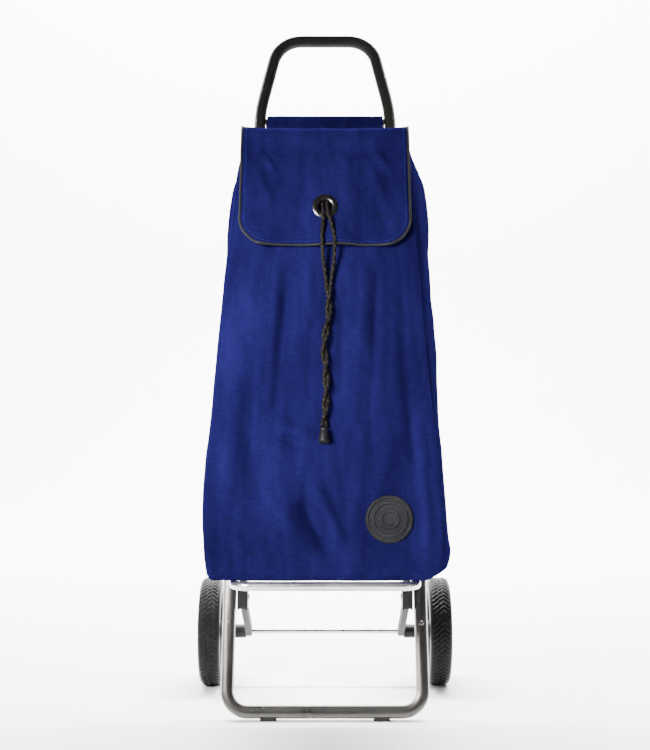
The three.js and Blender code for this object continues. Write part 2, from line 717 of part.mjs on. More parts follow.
/** A flat sheet across the bag, shrunk by inset all round. */
function sheetAcross(z, thick, inset) {
  const level = BAG_LEVELS[0];
  const [front, back] = [level.front + inset, backY(BAG_BASE_Z) - inset];
  const [seam, bulge, third] = [level.half - inset, level.bulge - inset, (back - front) / 3];
  const outline = [
    [seam, front], [bulge, front + third], [bulge, front + 2 * third], [seam, back],
    [-seam, back], [-bulge, front + 2 * third], [-bulge, front + third], [-seam, front],
  ];
  const shape = shapeOf(outline.map(([x, y]) => new THREE.Vector2(x, y)));
  return new THREE.ExtrudeGeometry(shape, { depth: thick, bevelEnabled: false }).translate(0, 0, z);
}

/** The line round the bag's mouth, from beside the front break round the back to the other side. */
function mouthPath() {
  const half = atLevel(HEM_Z, 'half') - HEM_DEPTH / 2 + HEM_OVERHANG;
  const front = frontY(HEM_Z) + HEM_DEPTH / 2;
  const back = backY(HEM_Z) - CLOTH - HEM_BACK_GAP - HEM_DEPTH / 2;
  const corners = [
    vec(HEM_MOUTH, front, HEM_Z), vec(half, front, HEM_Z), vec(half, back, HEM_Z),
    vec(-half, back, HEM_Z), vec(-half, front, HEM_Z), vec(-HEM_MOUTH, front, HEM_Z),
  ];
  const bends = Array(4).fill(HEM_CORNER);
  return filletedPath(corners, bends, HEM_STEP, vec(0, 0, 1));
}

function buildMouthHem() {
  const outer = roundedOutline(HEM_HEIGHT / 2, HEM_DEPTH / 2, 3.5, 1);
  const inner = roundedOutline(HEM_HEIGHT / 2 - 1, HEM_DEPTH / 2 - 1, 2.5, 1);
  return sweep(shapeOf(outer, inner), mouthPath());
}

function buildStrap(sign) {
  const outer = roundedOutline(HANDLE_WIDTH / 2 + 2, HANDLE_DEPTH / 2 + 2, HANDLE_CORNER + 2, 2);
  const inner = roundedOutline(HANDLE_WIDTH / 2 + 0.8, HANDLE_DEPTH / 2 + 0.8, HANDLE_CORNER + 0.8, 2);
  const ends = { depth: STRAP_HEIGHT, bevelEnabled: false };
  const loop = new THREE.ExtrudeGeometry(shapeOf(outer, inner), ends);
  const taper = Math.atan2(handleFoot.u - HANDLE_KNEE.u, HANDLE_KNEE.v - handleFoot.v);
  loop.rotateY(-taper).translate(handleU(STRAP_V) + HANDLE_SHIFT, 0, STRAP_V);
  return mirrored(loop, sign);
}

/** A turned disc on the front panel, with raised rings and a stud that goes through the cloth. */
function buildBadge() {
  const { radius, thick } = BADGE;
  const profile = [
    [0, thick - 0.8], [9, thick - 0.8], [10, thick], [17, thick], [18, thick - 0.8], [24, thick - 0.8],
    [25, thick], [radius - 1, thick], [radius, thick - 1], [radius, 0], [4, 0], [4, -6], [0, -6],
  ];
  return turned(profile, 20);
}

/** Stands a solid, turned about X, on the front panel at (x, z) with its +X side facing out. */
function placeOnFront(mesh, x, z, lift) {
  const lean = frontLean(z);
  mesh.rotation.set(-lean, 0, -Math.PI / 2, 'XYZ');
  mesh.position.set(x, frontY(z) - lift * Math.cos(lean), z + lift * Math.sin(lean));
}

part('bag_front_panel', buildFrontPanel(), BLUE_CLOTH(), bag);
part('bag_back_panel', buildBackPanel(), BLUE_CLOTH(), bag);
pair('bag_gusset', buildGusset, BLUE_CLOTH, bag);
part('bag_base_panel', sheetAcross(BAG_BASE_Z, CLOTH, 0), BLUE_CLOTH(), bag);
part('bag_base_board', sheetAcross(BAG_BASE_Z + CLOTH + 1.4, BOARD_THICK, 6), BOARD(), bag);
part('bag_mouth_hem', buildMouthHem(), BLUE_CLOTH(), bag);
pair('bag_tie_strap', buildStrap, BLACK_PLASTIC, frame);
const badge = part('badge_disc', buildBadge(), BLACK_PLASTIC(), bag);
placeOnFront(badge, BADGE.x, BADGE.z, GAP);
const badgeWasher = part('badge_washer', rod(14, -3, -1.8, 14, 4 + GAP), BLACK_PLASTIC(), bag);
placeOnFront(badgeWasher, BADGE.x, BADGE.z, GAP);

// ---- Flap: stations run from the hinge over the front edge and down the drop -------------------------

/** The middle of the flap's drop at a height. */
const dropLean = frontLean((FLAP_TOP_Z + FLAP_BOTTOM_Z) / 2);
const dropY = (z) => frontY(z) - FLAP_LIFT / Math.cos(dropLean);

const flapCorners = [
  vec(0, FLAP_HINGE.y - HINGE_GAP, FLAP_HINGE.z),
  vec(0, dropY(FLAP_TOP_Z), FLAP_TOP_Z),
  vec(0, dropY(FLAP_BOTTOM_Z), FLAP_BOTTOM_Z),
];
const flapProfile = filletedPath(flapCorners, [FLAP_BEND], FLAP_STEP);
const dropDirection = flapProfile.tangents.at(-1);
const dropNormal = vec(0, dropDirection.z, -dropDirection.y);

/** Stations with their half widths; the last ones follow the rounded corner of the drop. */
function flapStations(spread) {
  const points = flapProfile.points;
  const count = points.length;
  const stations = points.slice(0, -1).map((at, i) => {
    const half = i === 0 ? FLAP_HALF_BACK : FLAP_HALF_TOP;
    return { at, along: flapProfile.tangents[i], half: half + spread };
  });
  for (let k = 0; k <= 6; k++) {
    const angle = (Math.PI / 2) * (k / 6);
    const up = FLAP_CORNER - (FLAP_CORNER + spread) * Math.sin(angle);
    const at = points[count - 1].clone().addScaledVector(dropDirection, -up);
    const half = FLAP_HALF_BOTTOM - FLAP_CORNER + (FLAP_CORNER + spread) * Math.cos(angle);
    stations.push({ at, along: dropDirection, half });
  }
  return stations;
}

function buildFlap() {
  const rows = flapStations(0).map(({ at, along, half }) => {
    const normal = vec(0, along.z, -along.y).multiplyScalar(CLOTH / 2);
    return {
      outer: [at.clone().add(normal).setX(-half), at.clone().add(normal).setX(half)],
      inner: [at.clone().sub(normal).setX(-half), at.clone().sub(normal).setX(half)],
    };
  });
  const hole = rod(EYELET.barrel + GAP, -6, 6, 16).rotateZ(Math.PI / 2).rotateX(-dropLean);
  return cut(ribbon(rows), hole.translate(0, dropY(EYELET.z), EYELET.z));
}

/** The corded edge: down one side of the flap, across its bottom and up the other side. */
function buildPiping() {
  const side = flapStations(PIPING_RADIUS + 0.4).map(({ at, half }) => at.clone().setX(half));
  const points = [...side, ...side.map((p) => vec(-p.x, p.y, p.z)).reverse()];
  return sweep(shapeOf(roundOutline(PIPING_RADIUS, 8)), pathThrough(points));
}

/** Turned rings of the eyelet: a front rim with a barrel through the cloth, and a washer behind. */
function buildEyeletFront() {
  const { hole, barrel, rim } = EYELET;
  return turned([
    [hole, -1.9], [barrel, -1.9], [barrel, 0.9], [rim, 0.9], [rim, 1.6], [rim - 2.4, 2.7],
    [barrel, 2.4], [hole, 1.4],
  ], 20);
}

function standOnFlap(mesh) {
  mesh.rotation.set(-dropLean, 0, -Math.PI / 2, 'XYZ');
  mesh.position.set(0, dropY(EYELET.z), EYELET.z);
}

part('flap_panel', buildFlap(), BLUE_CLOTH(), bag);
part('flap_piping', buildPiping(), PIPING(), bag);
standOnFlap(part('eyelet_front', buildEyeletFront(), GUNMETAL(), bag));
standOnFlap(part('eyelet_back', rod(EYELET.rim - 1, -1.8, -0.9, 16, EYELET.barrel + GAP), GUNMETAL(), bag));

// ---- Drawcord -----------------------------------------------------------------------------------------

// Each point is x, the distance in front of the front panel, and z.
const STRAND_TOP = {
  left: [
    [-13.5, -4.5, 803], [-8, -3.6, 802.6], [-4.6, 0.9, 800], [-4.2, 3.7, 791], [-3.6, 3.3, 760],
    [-3.1, 3.1, 731], [-3, 3.2, 722], [-3, 5.2, 715], [-3, 10.6, 708], [-3, 14.3, 701],
    [-2.6, 14.9, 692], [-3.9, 14.6, 668], [-3.4, 14.6, 650], [-2.2, 10.5, 634], [0.2, 7, 617],
  ],
  right: [
    [13.5, -4.5, 803], [8, -3.6, 802.6], [4.6, 0.9, 800], [4.2, 3.7, 791], [3.6, 3.3, 760],
    [3.1, 3.1, 731], [3, 3.2, 722], [3, 5.2, 715], [3.2, 10.6, 708], [4, 14.3, 701],
    [6.6, 14.9, 692], [12.6, 14.6, 668], [12.8, 14.6, 650], [12, 10.5, 634], [9.6, 7, 617],
  ],
};
// The middle of the twisted pair, as x and z, and how far it lies in front of the panel.
const TWIST_LINE = [
  [4.6, 600], [5.2, 580], [4.7, 558], [0, 531], [-1.2, 514], [1.1, 492], [1.6, 456], [0, 433],
  [-1.2, 413.9],
];
const TWIST_LIFT = 6.3;
const TWIST_STEPS = 16;

/** The twisted stretch of one strand; sign puts the two strands on opposite sides. */
function twistedPoints(sign) {
  const middle = new THREE.CatmullRomCurve3(TWIST_LINE.map(([x, z]) => vec(x, 0, z)));
  const points = [];
  for (let k = 0; k <= TWIST_STEPS; k++) {
    const at = middle.getPoint(k / TWIST_STEPS);
    const angle = 2 * Math.PI * TWIST_TURNS * (k / TWIST_STEPS);
    const lift = TWIST_LIFT + sign * TWIST_RADIUS * Math.sin(angle);
    points.push(vec(at.x + sign * TWIST_RADIUS * Math.cos(angle), frontY(at.z) - lift, at.z));
  }
  return points;
}

/** A path straight through its points, with each tangent taken from the points beside it. */
function pathThrough(points) {
  const tangents = points.map((_, i) => {
    const before = points[Math.max(i - 1, 0)];
    const after = points[Math.min(i + 1, points.length - 1)];
    return after.clone().sub(before).normalize();
  });
  return new StationPath(points, tangents);
}

function buildStrand(side, sign) {
  const top = STRAND_TOP[side].map(([x, lift, z]) => vec(x, frontY(z) - lift, z));
  return sweep(shapeOf(roundOutline(CORD_RADIUS, 8)), pathThrough([...top, ...twistedPoints(sign)]));
}

function buildBell() {
  return turned([
    [0, BELL_HEIGHT], [5, BELL_HEIGHT], [6.2, 14], [7.4, 2], [7.4, 0], [6, 0], [5, 9], [0, 9],
  ].map(([r, x]) => [r, x - BELL_HEIGHT]), 16);
}

part('drawcord_loop', sweep(shapeOf(roundOutline(CORD_RADIUS, 8)), mouthPath()), CORD(), bag);
part('drawcord_strand_left', buildStrand('left', -1), CORD(), bag);
part('drawcord_strand_right', buildStrand('right', 1), CORD(), bag);
const bell = part('cord_bell', buildBell(), BLACK_PLASTIC(), bag);
const bellTop = { x: -1.2, z: 412.6, lift: 8 };
bell.rotation.set(-frontLean(bellTop.z), -Math.PI / 2, 0, 'XYZ');
bell.position.set(bellTop.x, frontY(bellTop.z) - bellTop.lift, bellTop.z);

export default trolley;
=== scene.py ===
import json
import math

import bpy
import numpy as np
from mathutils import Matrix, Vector, noise

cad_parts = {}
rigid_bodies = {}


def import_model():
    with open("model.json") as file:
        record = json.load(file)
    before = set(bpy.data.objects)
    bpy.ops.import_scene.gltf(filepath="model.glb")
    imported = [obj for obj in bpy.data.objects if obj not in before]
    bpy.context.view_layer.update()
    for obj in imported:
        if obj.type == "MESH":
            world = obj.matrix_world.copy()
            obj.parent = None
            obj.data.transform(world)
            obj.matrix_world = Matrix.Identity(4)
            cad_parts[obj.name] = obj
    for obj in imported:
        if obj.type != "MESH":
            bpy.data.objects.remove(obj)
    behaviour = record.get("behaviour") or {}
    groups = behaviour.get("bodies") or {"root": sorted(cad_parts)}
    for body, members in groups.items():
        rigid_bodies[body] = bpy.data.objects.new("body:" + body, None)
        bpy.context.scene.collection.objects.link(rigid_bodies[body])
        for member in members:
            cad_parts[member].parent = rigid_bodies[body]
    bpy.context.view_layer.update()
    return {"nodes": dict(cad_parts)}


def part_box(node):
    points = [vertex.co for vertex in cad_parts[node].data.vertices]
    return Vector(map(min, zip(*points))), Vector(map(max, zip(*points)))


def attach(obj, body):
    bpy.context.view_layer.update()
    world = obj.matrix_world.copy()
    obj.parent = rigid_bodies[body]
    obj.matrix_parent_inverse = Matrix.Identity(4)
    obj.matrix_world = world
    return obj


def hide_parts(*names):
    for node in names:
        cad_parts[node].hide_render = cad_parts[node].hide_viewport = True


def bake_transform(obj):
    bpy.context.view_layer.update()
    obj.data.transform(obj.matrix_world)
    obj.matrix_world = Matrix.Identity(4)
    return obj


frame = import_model()

# ---- Dimensions in millimetres, y measured from the foot bar -----------------------------------

CENTRE_Y = 73.25
LEAN = math.radians(16.16)
FOOT_Z = 11.8
FLAP_LEAN = math.atan(43.5 / 153.7)
BAG_MIDDLE_Y = -60
STRAND_R = 2.5


def m(x, y, z):
    """Millimetres from the foot bar to metres in the row frame."""
    return (x / 1000, (y - CENTRE_Y) / 1000, z / 1000)


def smooth(t):
    t = np.clip(t, 0, 1)
    return t * t * (3 - 2 * t)


def plane_y(z):
    return (z - FOOT_Z) * math.tan(LEAN)


def back_y(z):
    return plane_y(z) - 11 / math.cos(LEAN)


FRONT_LINE = [(219.5, -166), (232, -172), (345, -150), (470, -114), (640, -63), (793.7, -19.5), (850, -3.56)]
HALF_LINE = [(219.5, 143), (232, 150), (345, 148.5), (470, 137.5), (640, 124.5), (793.7, 113), (850, 108)]
SEAM_LEFT = [(219, 146), (226, 151), (266, 153), (310, 155), (362, 152), (422, 146), (507, 140),
             (554, 137), (600, 133.5), (640, 130), (686, 125), (742, 119.5), (797, 111)]
SEAM_RIGHT = [(219, 143), (232, 151), (300, 151.5), (381, 145.5), (455, 137.6), (508, 133),
              (561, 129.2), (608, 126.2), (664, 121.8), (708, 117.2), (797, 110)]
SWELL_LEFT = [(219, 3), (232, 6), (300, 9), (420, 8), (554, 8), (686, 9), (742, 9), (782, 6), (797, 2)]
SWELL_RIGHT = [(219, 6), (228, 18), (240, 21), (250, 17), (276, 11), (336, 8), (420, 12), (560, 20),
               (690, 23), (744, 24), (777, 19), (790, 11), (797, 3)]


def along(table, z):
    """A value of a table of (height, value), eased over 40 mm so that no level shows as a crease."""
    heights, values = zip(*table)
    return sum(np.interp(z + d, heights, values) for d in (-20, -10, 0, 10, 20)) / 5


def front_y(z):
    heights, values = zip(*FRONT_LINE)
    return np.interp(z, heights, values)


def wobble(x, z, seed, across, up):
    return noise.noise(Vector((x / across, z / up, seed)))


def crease(x, z, x0, z0, x1, z1, width, depth):
    """A soft fold along a line from (x0, z0) to (x1, z1); depth is outwards."""
    dx, dz = x1 - x0, z1 - z0
    length = math.hypot(dx, dz)
    t = ((x - x0) * dx + (z - z0) * dz) / length
    off = ((x - x0) * dz - (z - z0) * dx) / length
    ends = smooth(t / 30) * smooth((length - t) / 30)
    return float(depth * math.exp(-((off / width) ** 2)) * ends)


CREASES = [
    (-34, 334, 8, 240, 10, -4.2), (-16, 350, 28, 250, 8, 2.6), (-54, 320, -26, 244, 9, 2.2),
    (-72, 404, -14, 384, 7, -2.2), (-70, 418, -8, 400, 7, 1.6), (58, 640, 34, 400, 9, 1.5),
    (72, 650, 60, 420, 7, -1.3), (-62, 650, -84, 380, 11, 1.5), (-48, 640, -66, 420, 8, -1.4),
    (24, 640, 20, 470, 8, -1.1), (-112, 560, -122, 300, 9, 1.3), (100, 560, 118, 360, 9, -1.5),
    (-100, 420, -70, 240, 10, -1.4), (40, 330, 66, 236, 9, 1.3), (116, 330, 96, 240, 9, -1.5),
    (-124, 300, -96, 232, 10, 1.6), (88, 420, 74, 338, 9, 1.1), (-16, 460, -30, 344, 9, 1.2),
    (-90, 640, -104, 560, 7, 1.2), (124, 420, 134, 250, 7, 1.4), (-20, 640, -26, 520, 6, 0.9),
]
BADGE_X, BADGE_Z = 82.5, 296.0


def relief(x, z):
    """How far the front of the bag stands out from its flat panel."""
    left, right = -along(SEAM_LEFT, z), along(SEAM_RIGHT, z)
    u = (x - left) / (right - left)
    inside = max(0.0, min(u, 1 - u))
    edge = float(smooth(inside / 0.07))
    low = float(smooth((690 - z) / 120))
    puff = 3.5 * math.sin(math.pi * min(max(u, 0), 1)) * low
    folds = sum(crease(x, z, *c) for c in CREASES) * low
    rough = 3.2 * wobble(x, z, 1.3, 44, 130)
    rough += 0.9 * wobble(x, z, 4.1, 15, 90)
    rough += 0.8 * wobble(x, z, 7.7, 12, 20)
    far = math.hypot(x - BADGE_X, z - BADGE_Z)
    return (puff + (3.0 * folds + 1.35 * rough * low) * edge) * float(smooth((far - 32) / 26))


# ---- Mesh helpers ------------------------------------------------------------------------------


def make_mesh(name, points, faces, uvs=None, smooth_faces=True):
    """points in millimetres from the foot bar; uvs one per point, in metres."""
    data = bpy.data.meshes.new(name)
    data.from_pydata([m(*p) for p in points], [], faces)
    data.update()
    if uvs is not None:
        layer = data.uv_layers.new(name="cloth")
        for loop in data.loops:
            layer.data[loop.index].uv = uvs[loop.vertex_index]
    if smooth_faces:
        data.polygons.foreach_set("use_smooth", [True] * len(data.polygons))
    obj = bpy.data.objects.new(name, data)
    bpy.context.scene.collection.objects.link(obj)
    return obj


def grid(rows, cols, closed=False):
    """Quads between rows of cols points; closed joins the last column to the first."""
    span = cols if closed else cols - 1
    return [
        (r * cols + c, r * cols + (c + 1) % cols, (r + 1) * cols + (c + 1) % cols, (r + 1) * cols + c)
        for r in range(rows - 1)
        for c in range(span)
    ]


def resample(points, step):
    """Points of a polyline at even spacing, along a smooth curve through them."""
    points = np.array(points, float)
    fine = []
    for i in range(len(points) - 1):
        p0, p1, p2, p3 = (points[max(i - 1, 0)], points[i], points[i + 1],
                          points[min(i + 2, len(points) - 1)])
        for t in np.linspace(0, 1, 14, endpoint=False):
            fine.append(0.5 * (2 * p1 + (p2 - p0) * t + (2 * p0 - 5 * p1 + 4 * p2 - p3) * t**2
                               + (3 * p1 - p0 - 3 * p2 + p3) * t**3))
    fine.append(points[-1])
    fine = np.array(fine)
    run = np.concatenate([[0], np.cumsum(np.linalg.norm(np.diff(fine, axis=0), axis=1))])
    at = np.linspace(0, run[-1], max(2, int(run[-1] / step) + 1))
    return np.stack([np.interp(at, run, fine[:, k]) for k in range(3)], axis=1)


def frames_along(line):
    """(tangent, side, up) at each point of a line, without twist."""
    tangents = np.gradient(line, axis=0)
    tangents /= np.linalg.norm(tangents, axis=1)[:, None]
    side = np.cross(tangents[0], (0.13, 0.92, 0.37))
    frames = []
    for tangent in tangents:
        side = side - tangent * np.dot(side, tangent)
        side /= np.linalg.norm(side)
        frames.append((tangent, side, np.cross(tangent, side)))
    return frames


def tube(name, line, radius, sides, capped=True):
    """A tube along a line; radius is a number or a function of (angle, distance)."""
    run = np.concatenate([[0], np.cumsum(np.linalg.norm(np.diff(line, axis=0), axis=1))])
    points, uvs = [], []
    for centre, (_, side, up), s in zip(line, frames_along(line), run):
        for k in range(sides):
            a = 2 * math.pi * k / sides
            r = radius(a, s) if callable(radius) else radius
            points.append(centre + side * r * math.cos(a) + up * r * math.sin(a))
            uvs.append((a * 0.0025, s / 1000))
    faces = grid(len(line), sides, closed=True)
    if capped:
        faces.append(tuple(reversed(range(sides))))
        faces.append(tuple(range((len(line) - 1) * sides, len(line) * sides)))
    return make_mesh(name, points, faces, uvs)


def stitches(name, line, outwards, length=2.9, gap=1.5, radius=0.42):
    """A row of thread stitches along a line; outwards is the cloth's normal at each of its points."""
    line, outwards = np.array(line, float), np.array(outwards, float)
    run = np.concatenate([[0], np.cumsum(np.linalg.norm(np.diff(line, axis=0), axis=1))])
    points, faces = [], []
    for start in np.arange(0, run[-1] - length, length + gap):
        for s, r in zip(np.linspace(start, start + length, 5), (0.25, 0.9, 1.0, 0.9, 0.25)):
            centre = np.array([np.interp(s, run, line[:, k]) for k in range(3)])
            ahead = np.array([np.interp(s + 0.5, run, line[:, k]) for k in range(3)]) - centre
            ahead /= max(np.linalg.norm(ahead), 1e-9)
            normal = np.array([np.interp(s, run, outwards[:, k]) for k in range(3)])
            across = np.cross(ahead, normal)
            base = len(points)
            for k in range(6):
                a = math.pi * k / 3
                outward = normal * (r * radius * (0.8 * math.sin(a) + 0.35))
                points.append(centre + outward + across * r * radius * math.cos(a))
            if s > start:
                faces += [(base - 6 + k, base - 6 + (k + 1) % 6, base + (k + 1) % 6, base + k)
                          for k in range(6)]
    return make_mesh(name, points, faces)


def lathe_x(name, profile, centre, segments, dent=None):
    """profile of (radius, x) turned about X through centre; dent(angle, i) lowers the radius of point i."""
    points = []
    for k in range(segments):
        a = 2 * math.pi * k / segments
        for i, (r, x) in enumerate(profile):
            rr = r - (dent(a, x, r) if dent else 0)
            points.append((centre[0] + x, centre[1] + rr * math.cos(a), centre[2] + rr * math.sin(a)))
    n = len(profile)
    faces = [
        (k * n + i, ((k + 1) % segments) * n + i, ((k + 1) % segments) * n + (i + 1) % n, k * n + (i + 1) % n)
        for k in range(segments)
        for i in range(n)
    ]
    return make_mesh(name, points, faces)


# ---- Materials ---------------------------------------------------------------------------------


class Surface:
    """A procedural material, built up node by node."""

    def __init__(self, name, colour, rough, metallic=0.0, **sockets):
        self.material = bpy.data.materials.new(name)
        self.material.use_nodes = True
        self.tree = self.material.node_tree
        self.shader = self.tree.nodes["Principled BSDF"]
        self.shader.inputs["Base Color"].default_value = (*colour, 1)
        self.shader.inputs["Roughness"].default_value = rough
        self.shader.inputs["Metallic"].default_value = metallic
        for socket, value in sockets.items():
            self.shader.inputs[socket.replace("_", " ")].default_value = value
        self.colour = colour
        self.height = None

    def node(self, kind, **values):
        made = self.tree.nodes.new(kind)
        for key, value in values.items():
            if hasattr(made, key):
                setattr(made, key, value)
            else:
                made.inputs[key.replace("_", " ")].default_value = value
        return made

    def link(self, a, b):
        self.tree.links.new(a, b)

    def coordinates(self, source, scale, turn=0.0):
        where = self.node("ShaderNodeTexCoord")
        place = self.node("ShaderNodeMapping")
        place.inputs["Scale"].default_value = scale
        place.inputs["Rotation"].default_value = (0, 0, turn)
        self.link(where.outputs[source], place.inputs["Vector"])
        return place.outputs["Vector"]

    def noise(self, source, scale, detail=3.0, rough=0.5, turn=0.0):
        made = self.node("ShaderNodeTexNoise")
        made.inputs["Scale"].default_value = 1.0
        made.inputs["Detail"].default_value = detail
        made.inputs["Roughness"].default_value = rough
        self.link(self.coordinates(source, scale, turn), made.inputs["Vector"])
        return made.outputs["Fac"]

    def wave(self, source, scale, direction="X", distortion=0.0):
        made = self.node("ShaderNodeTexWave", bands_direction=direction)
        made.inputs["Scale"].default_value = 1.0
        made.inputs["Distortion"].default_value = distortion
        self.link(self.coordinates(source, scale), made.inputs["Vector"])
        return made.outputs["Fac"]

    def math(self, operation, a, b):
        made = self.node("ShaderNodeMath", operation=operation)
        for slot, value in ((0, a), (1, b)):
            if isinstance(value, (int, float)):
                made.inputs[slot].default_value = value
            else:
                self.link(value, made.inputs[slot])
        return made.outputs[0]

    def ramp(self, value, low, high, a, b):
        made = self.node("ShaderNodeMapRange")
        self.link(value, made.inputs["Value"])
        for key, number in (("From Min", low), ("From Max", high), ("To Min", a), ("To Max", b)):
            made.inputs[key].default_value = number
        return made.outputs["Result"]

    def tint(self, value, low, high, a, b):
        """Mixes colour a to colour b as value goes from low to high, on top of the base colour."""
        made = self.node("ShaderNodeMix", data_type="RGBA")
        self.link(self.ramp(value, low, high, 0, 1), made.inputs["Factor"])
        made.inputs["A"].default_value = (*a, 1)
        made.inputs["B"].default_value = (*b, 1)
        self.link(made.outputs["Result"], self.shader.inputs["Base Color"])
        self.last = made
        return self

    def shade(self, value, low, high, dark, light):
        """Multiplies the base colour so far by dark to light."""
        made = self.node("ShaderNodeMix", data_type="RGBA", blend_type="MULTIPLY")
        made.inputs["Factor"].default_value = 1.0
        socket = self.shader.inputs["Base Color"]
        if socket.links:
            self.link(socket.links[0].from_socket, made.inputs["A"])
        else:
            made.inputs["A"].default_value = socket.default_value
        self.link(self.ramp(value, low, high, dark, light), made.inputs["B"])
        self.link(made.outputs["Result"], socket)
        return self

    def vary_rough(self, value, low, high, a, b):
        self.link(self.ramp(value, low, high, a, b), self.shader.inputs["Roughness"])
        return self

    def bump(self, value, strength, distance):
        made = self.node("ShaderNodeBump", Strength=strength, Distance=distance)
        self.link(value, made.inputs["Height"])
        socket = self.shader.inputs["Normal"]
        if socket.links:
            self.link(socket.links[0].from_socket, made.inputs["Normal"])
        self.link(made.outputs["Normal"], socket)
        return self


def cloth_surface(name, colour, light):
    s = Surface(name, colour, 0.7, Specular_IOR_Level=0.0)
    slub = s.noise("UV", (75, 900, 1), 4, 0.6)
    patches = s.noise("UV", (9, 5, 1), 3, 0.55)
    streaks = s.noise("UV", (55, 7, 1), 3, 0.5)
    s.tint(patches, 0.3, 0.7, colour, light)
    s.shade(slub, 0.3, 0.7, 0.74, 1.26)
    s.shade(streaks, 0.3, 0.7, 0.82, 1.18)
    weft = s.wave("UV", (10, 420, 1), "Y")
    warp = s.wave("UV", (420, 10, 1), "X")
    weave = s.math("MULTIPLY", weft, warp)
    s.shade(weave, 0, 1, 0.8, 1.25)
    s.bump(weave, 0.3, 0.0002)
    s.bump(slub, 0.35, 0.0008)
    s.bump(s.noise("UV", (70, 36, 1), 4, 0.55), 0.45, 0.0025)
    s.vary_rough(slub, 0.3, 0.7, 0.6, 0.8)
    return s.material


def metal_surface(name, colour, rough, grain=0.05, turn_axis=(900, 900, 30)):
    s = Surface(name, colour, rough, 0.95, Coat_Weight=0.12)
    fine = s.noise("Object", turn_axis, 4, 0.6)
    blotch = s.noise("Object", (14, 14, 14), 4, 0.6)
    s.shade(blotch, 0.3, 0.7, 0.9, 1.08)
    s.shade(fine, 0.35, 0.65, 1 - grain, 1 + grain)
    s.vary_rough(blotch, 0.3, 0.7, rough - 0.05, rough + 0.08)
    s.bump(fine, 0.08, 0.0002)
    return s.material


def plastic_surface(name, colour, rough, grain=900.0, shine=0.16):
    s = Surface(name, colour, rough, IOR=1.35, Specular_IOR_Level=2 * shine)
    fine = s.noise("Object", (grain, grain, grain), 3, 0.6)
    blotch = s.noise("Object", (25, 25, 25), 4, 0.6)
    s.shade(blotch, 0.3, 0.7, 0.86, 1.12)
    s.vary_rough(blotch, 0.3, 0.7, rough - 0.06, rough + 0.1)
    s.bump(fine, 0.25, 0.0003)
    return s.material


def cord_surface():
    s = Surface("braided_cord", (0.01, 0.008, 0.007), 0.7, Specular_IOR_Level=0.08)
    a = s.wave("UV", (90, 60, 1), "DIAGONAL")
    b = s.wave("UV", (-90, 60, 1), "DIAGONAL")
    braid = s.math("MULTIPLY", a, b)
    fleck = s.noise("UV", (500, 260, 1), 2, 0.5)
    s.tint(fleck, 0.5, 0.62, (0.008, 0.0065, 0.006), (0.03, 0.026, 0.022))
    s.shade(braid, 0, 0.9, 0.4, 1.5)
    s.bump(braid, 0.6, 0.0006)
    return s.material


def webbing_surface():
    s = Surface("webbing", (0.014, 0.014, 0.018), 0.75, Specular_IOR_Level=0.1)
    ribs = s.wave("Object", (10, 10, 130), "Z")
    threads = s.noise("Object", (900, 900, 300), 3, 0.6)
    s.shade(ribs, 0, 1, 0.6, 1.4)
    s.shade(threads, 0.3, 0.7, 0.8, 1.2)
    s.bump(ribs, 0.5, 0.0005)
    return s.material


def tyre_surface():
    s = Surface("tyre_foam", (0.005, 0.005, 0.0055), 0.27, IOR=1.35, Specular_IOR_Level=0.13)
    speck = s.noise("Object", (700, 700, 700), 4, 0.7)
    dust = s.noise("Object", (30, 30, 30), 5, 0.65)
    s.tint(dust, 0.35, 0.75, (0.005, 0.005, 0.006), (0.011, 0.0105, 0.0105))
    s.shade(speck, 0.3, 0.7, 0.8, 1.25)
    s.vary_rough(dust, 0.3, 0.7, 0.26, 0.42)
    s.bump(speck, 0.3, 0.0005)
    return s.material


BLUE = cloth_surface("bag_cloth", (0.0047, 0.0036, 0.0315), (0.009, 0.007, 0.0565))
thread = Surface("seam_thread", (0.006, 0.011, 0.11), 0.6, Specular_IOR_Level=0.1)
thread.shade(thread.noise("Object", (900, 900, 900), 2), 0.3, 0.7, 0.75, 1.3)
BLUE_THREAD = thread.material
PIPING = plastic_surface("piping_cloth", (0.009, 0.009, 0.011), 0.55, 1500)
CORD = cord_surface()
WEBBING = webbing_surface()
TYRE = tyre_surface()
ANODISED = metal_surface("anodised_tube", (0.1, 0.094, 0.087), 0.3)
POLISHED = metal_surface("polished_tube", (0.8, 0.79, 0.79), 0.24, 0.03)
STEEL = metal_surface("bright_steel", (0.55, 0.55, 0.56), 0.26, 0.05, (30, 900, 900))
GUNMETAL = metal_surface("gunmetal", (0.055, 0.053, 0.052), 0.24, 0.06, (500, 500, 500))
TRIM = plastic_surface("handle_trim", (0.0105, 0.0098, 0.0088), 0.5, 1400, 0.07)
BLACK = plastic_surface("black_plastic", (0.007, 0.007, 0.008), 0.42)
BADGE = plastic_surface("badge_plastic", (0.011, 0.011, 0.0125), 0.38, 1500, 0.25)
RUBBER = plastic_surface("rubber", (0.02, 0.02, 0.02), 0.7, 600)
GREY = plastic_surface("grey_plastic", (0.05, 0.048, 0.052), 0.55, 900, 0.03)
NYLON = plastic_surface("nylon", (0.6, 0.59, 0.54), 0.4)
BOARD = plastic_surface("base_board", (0.02, 0.02, 0.024), 0.6, 300)


def finish_piece(obj, material):
    obj.data.materials.clear()
    obj.data.materials.append(material)
    return obj


# ---- Camera, then the cords --------------------------------------------------------------------

camera_data = bpy.data.cameras.new("camera")
camera_data.lens = 68.93
camera_data.sensor_width = 36
camera = bpy.data.objects.new("camera", camera_data)
camera.location = (0, -2.07325, 0.481)
camera.rotation_euler = (math.pi / 2, 0, 0)
bpy.context.scene.collection.objects.link(camera)
bpy.context.scene.camera = camera

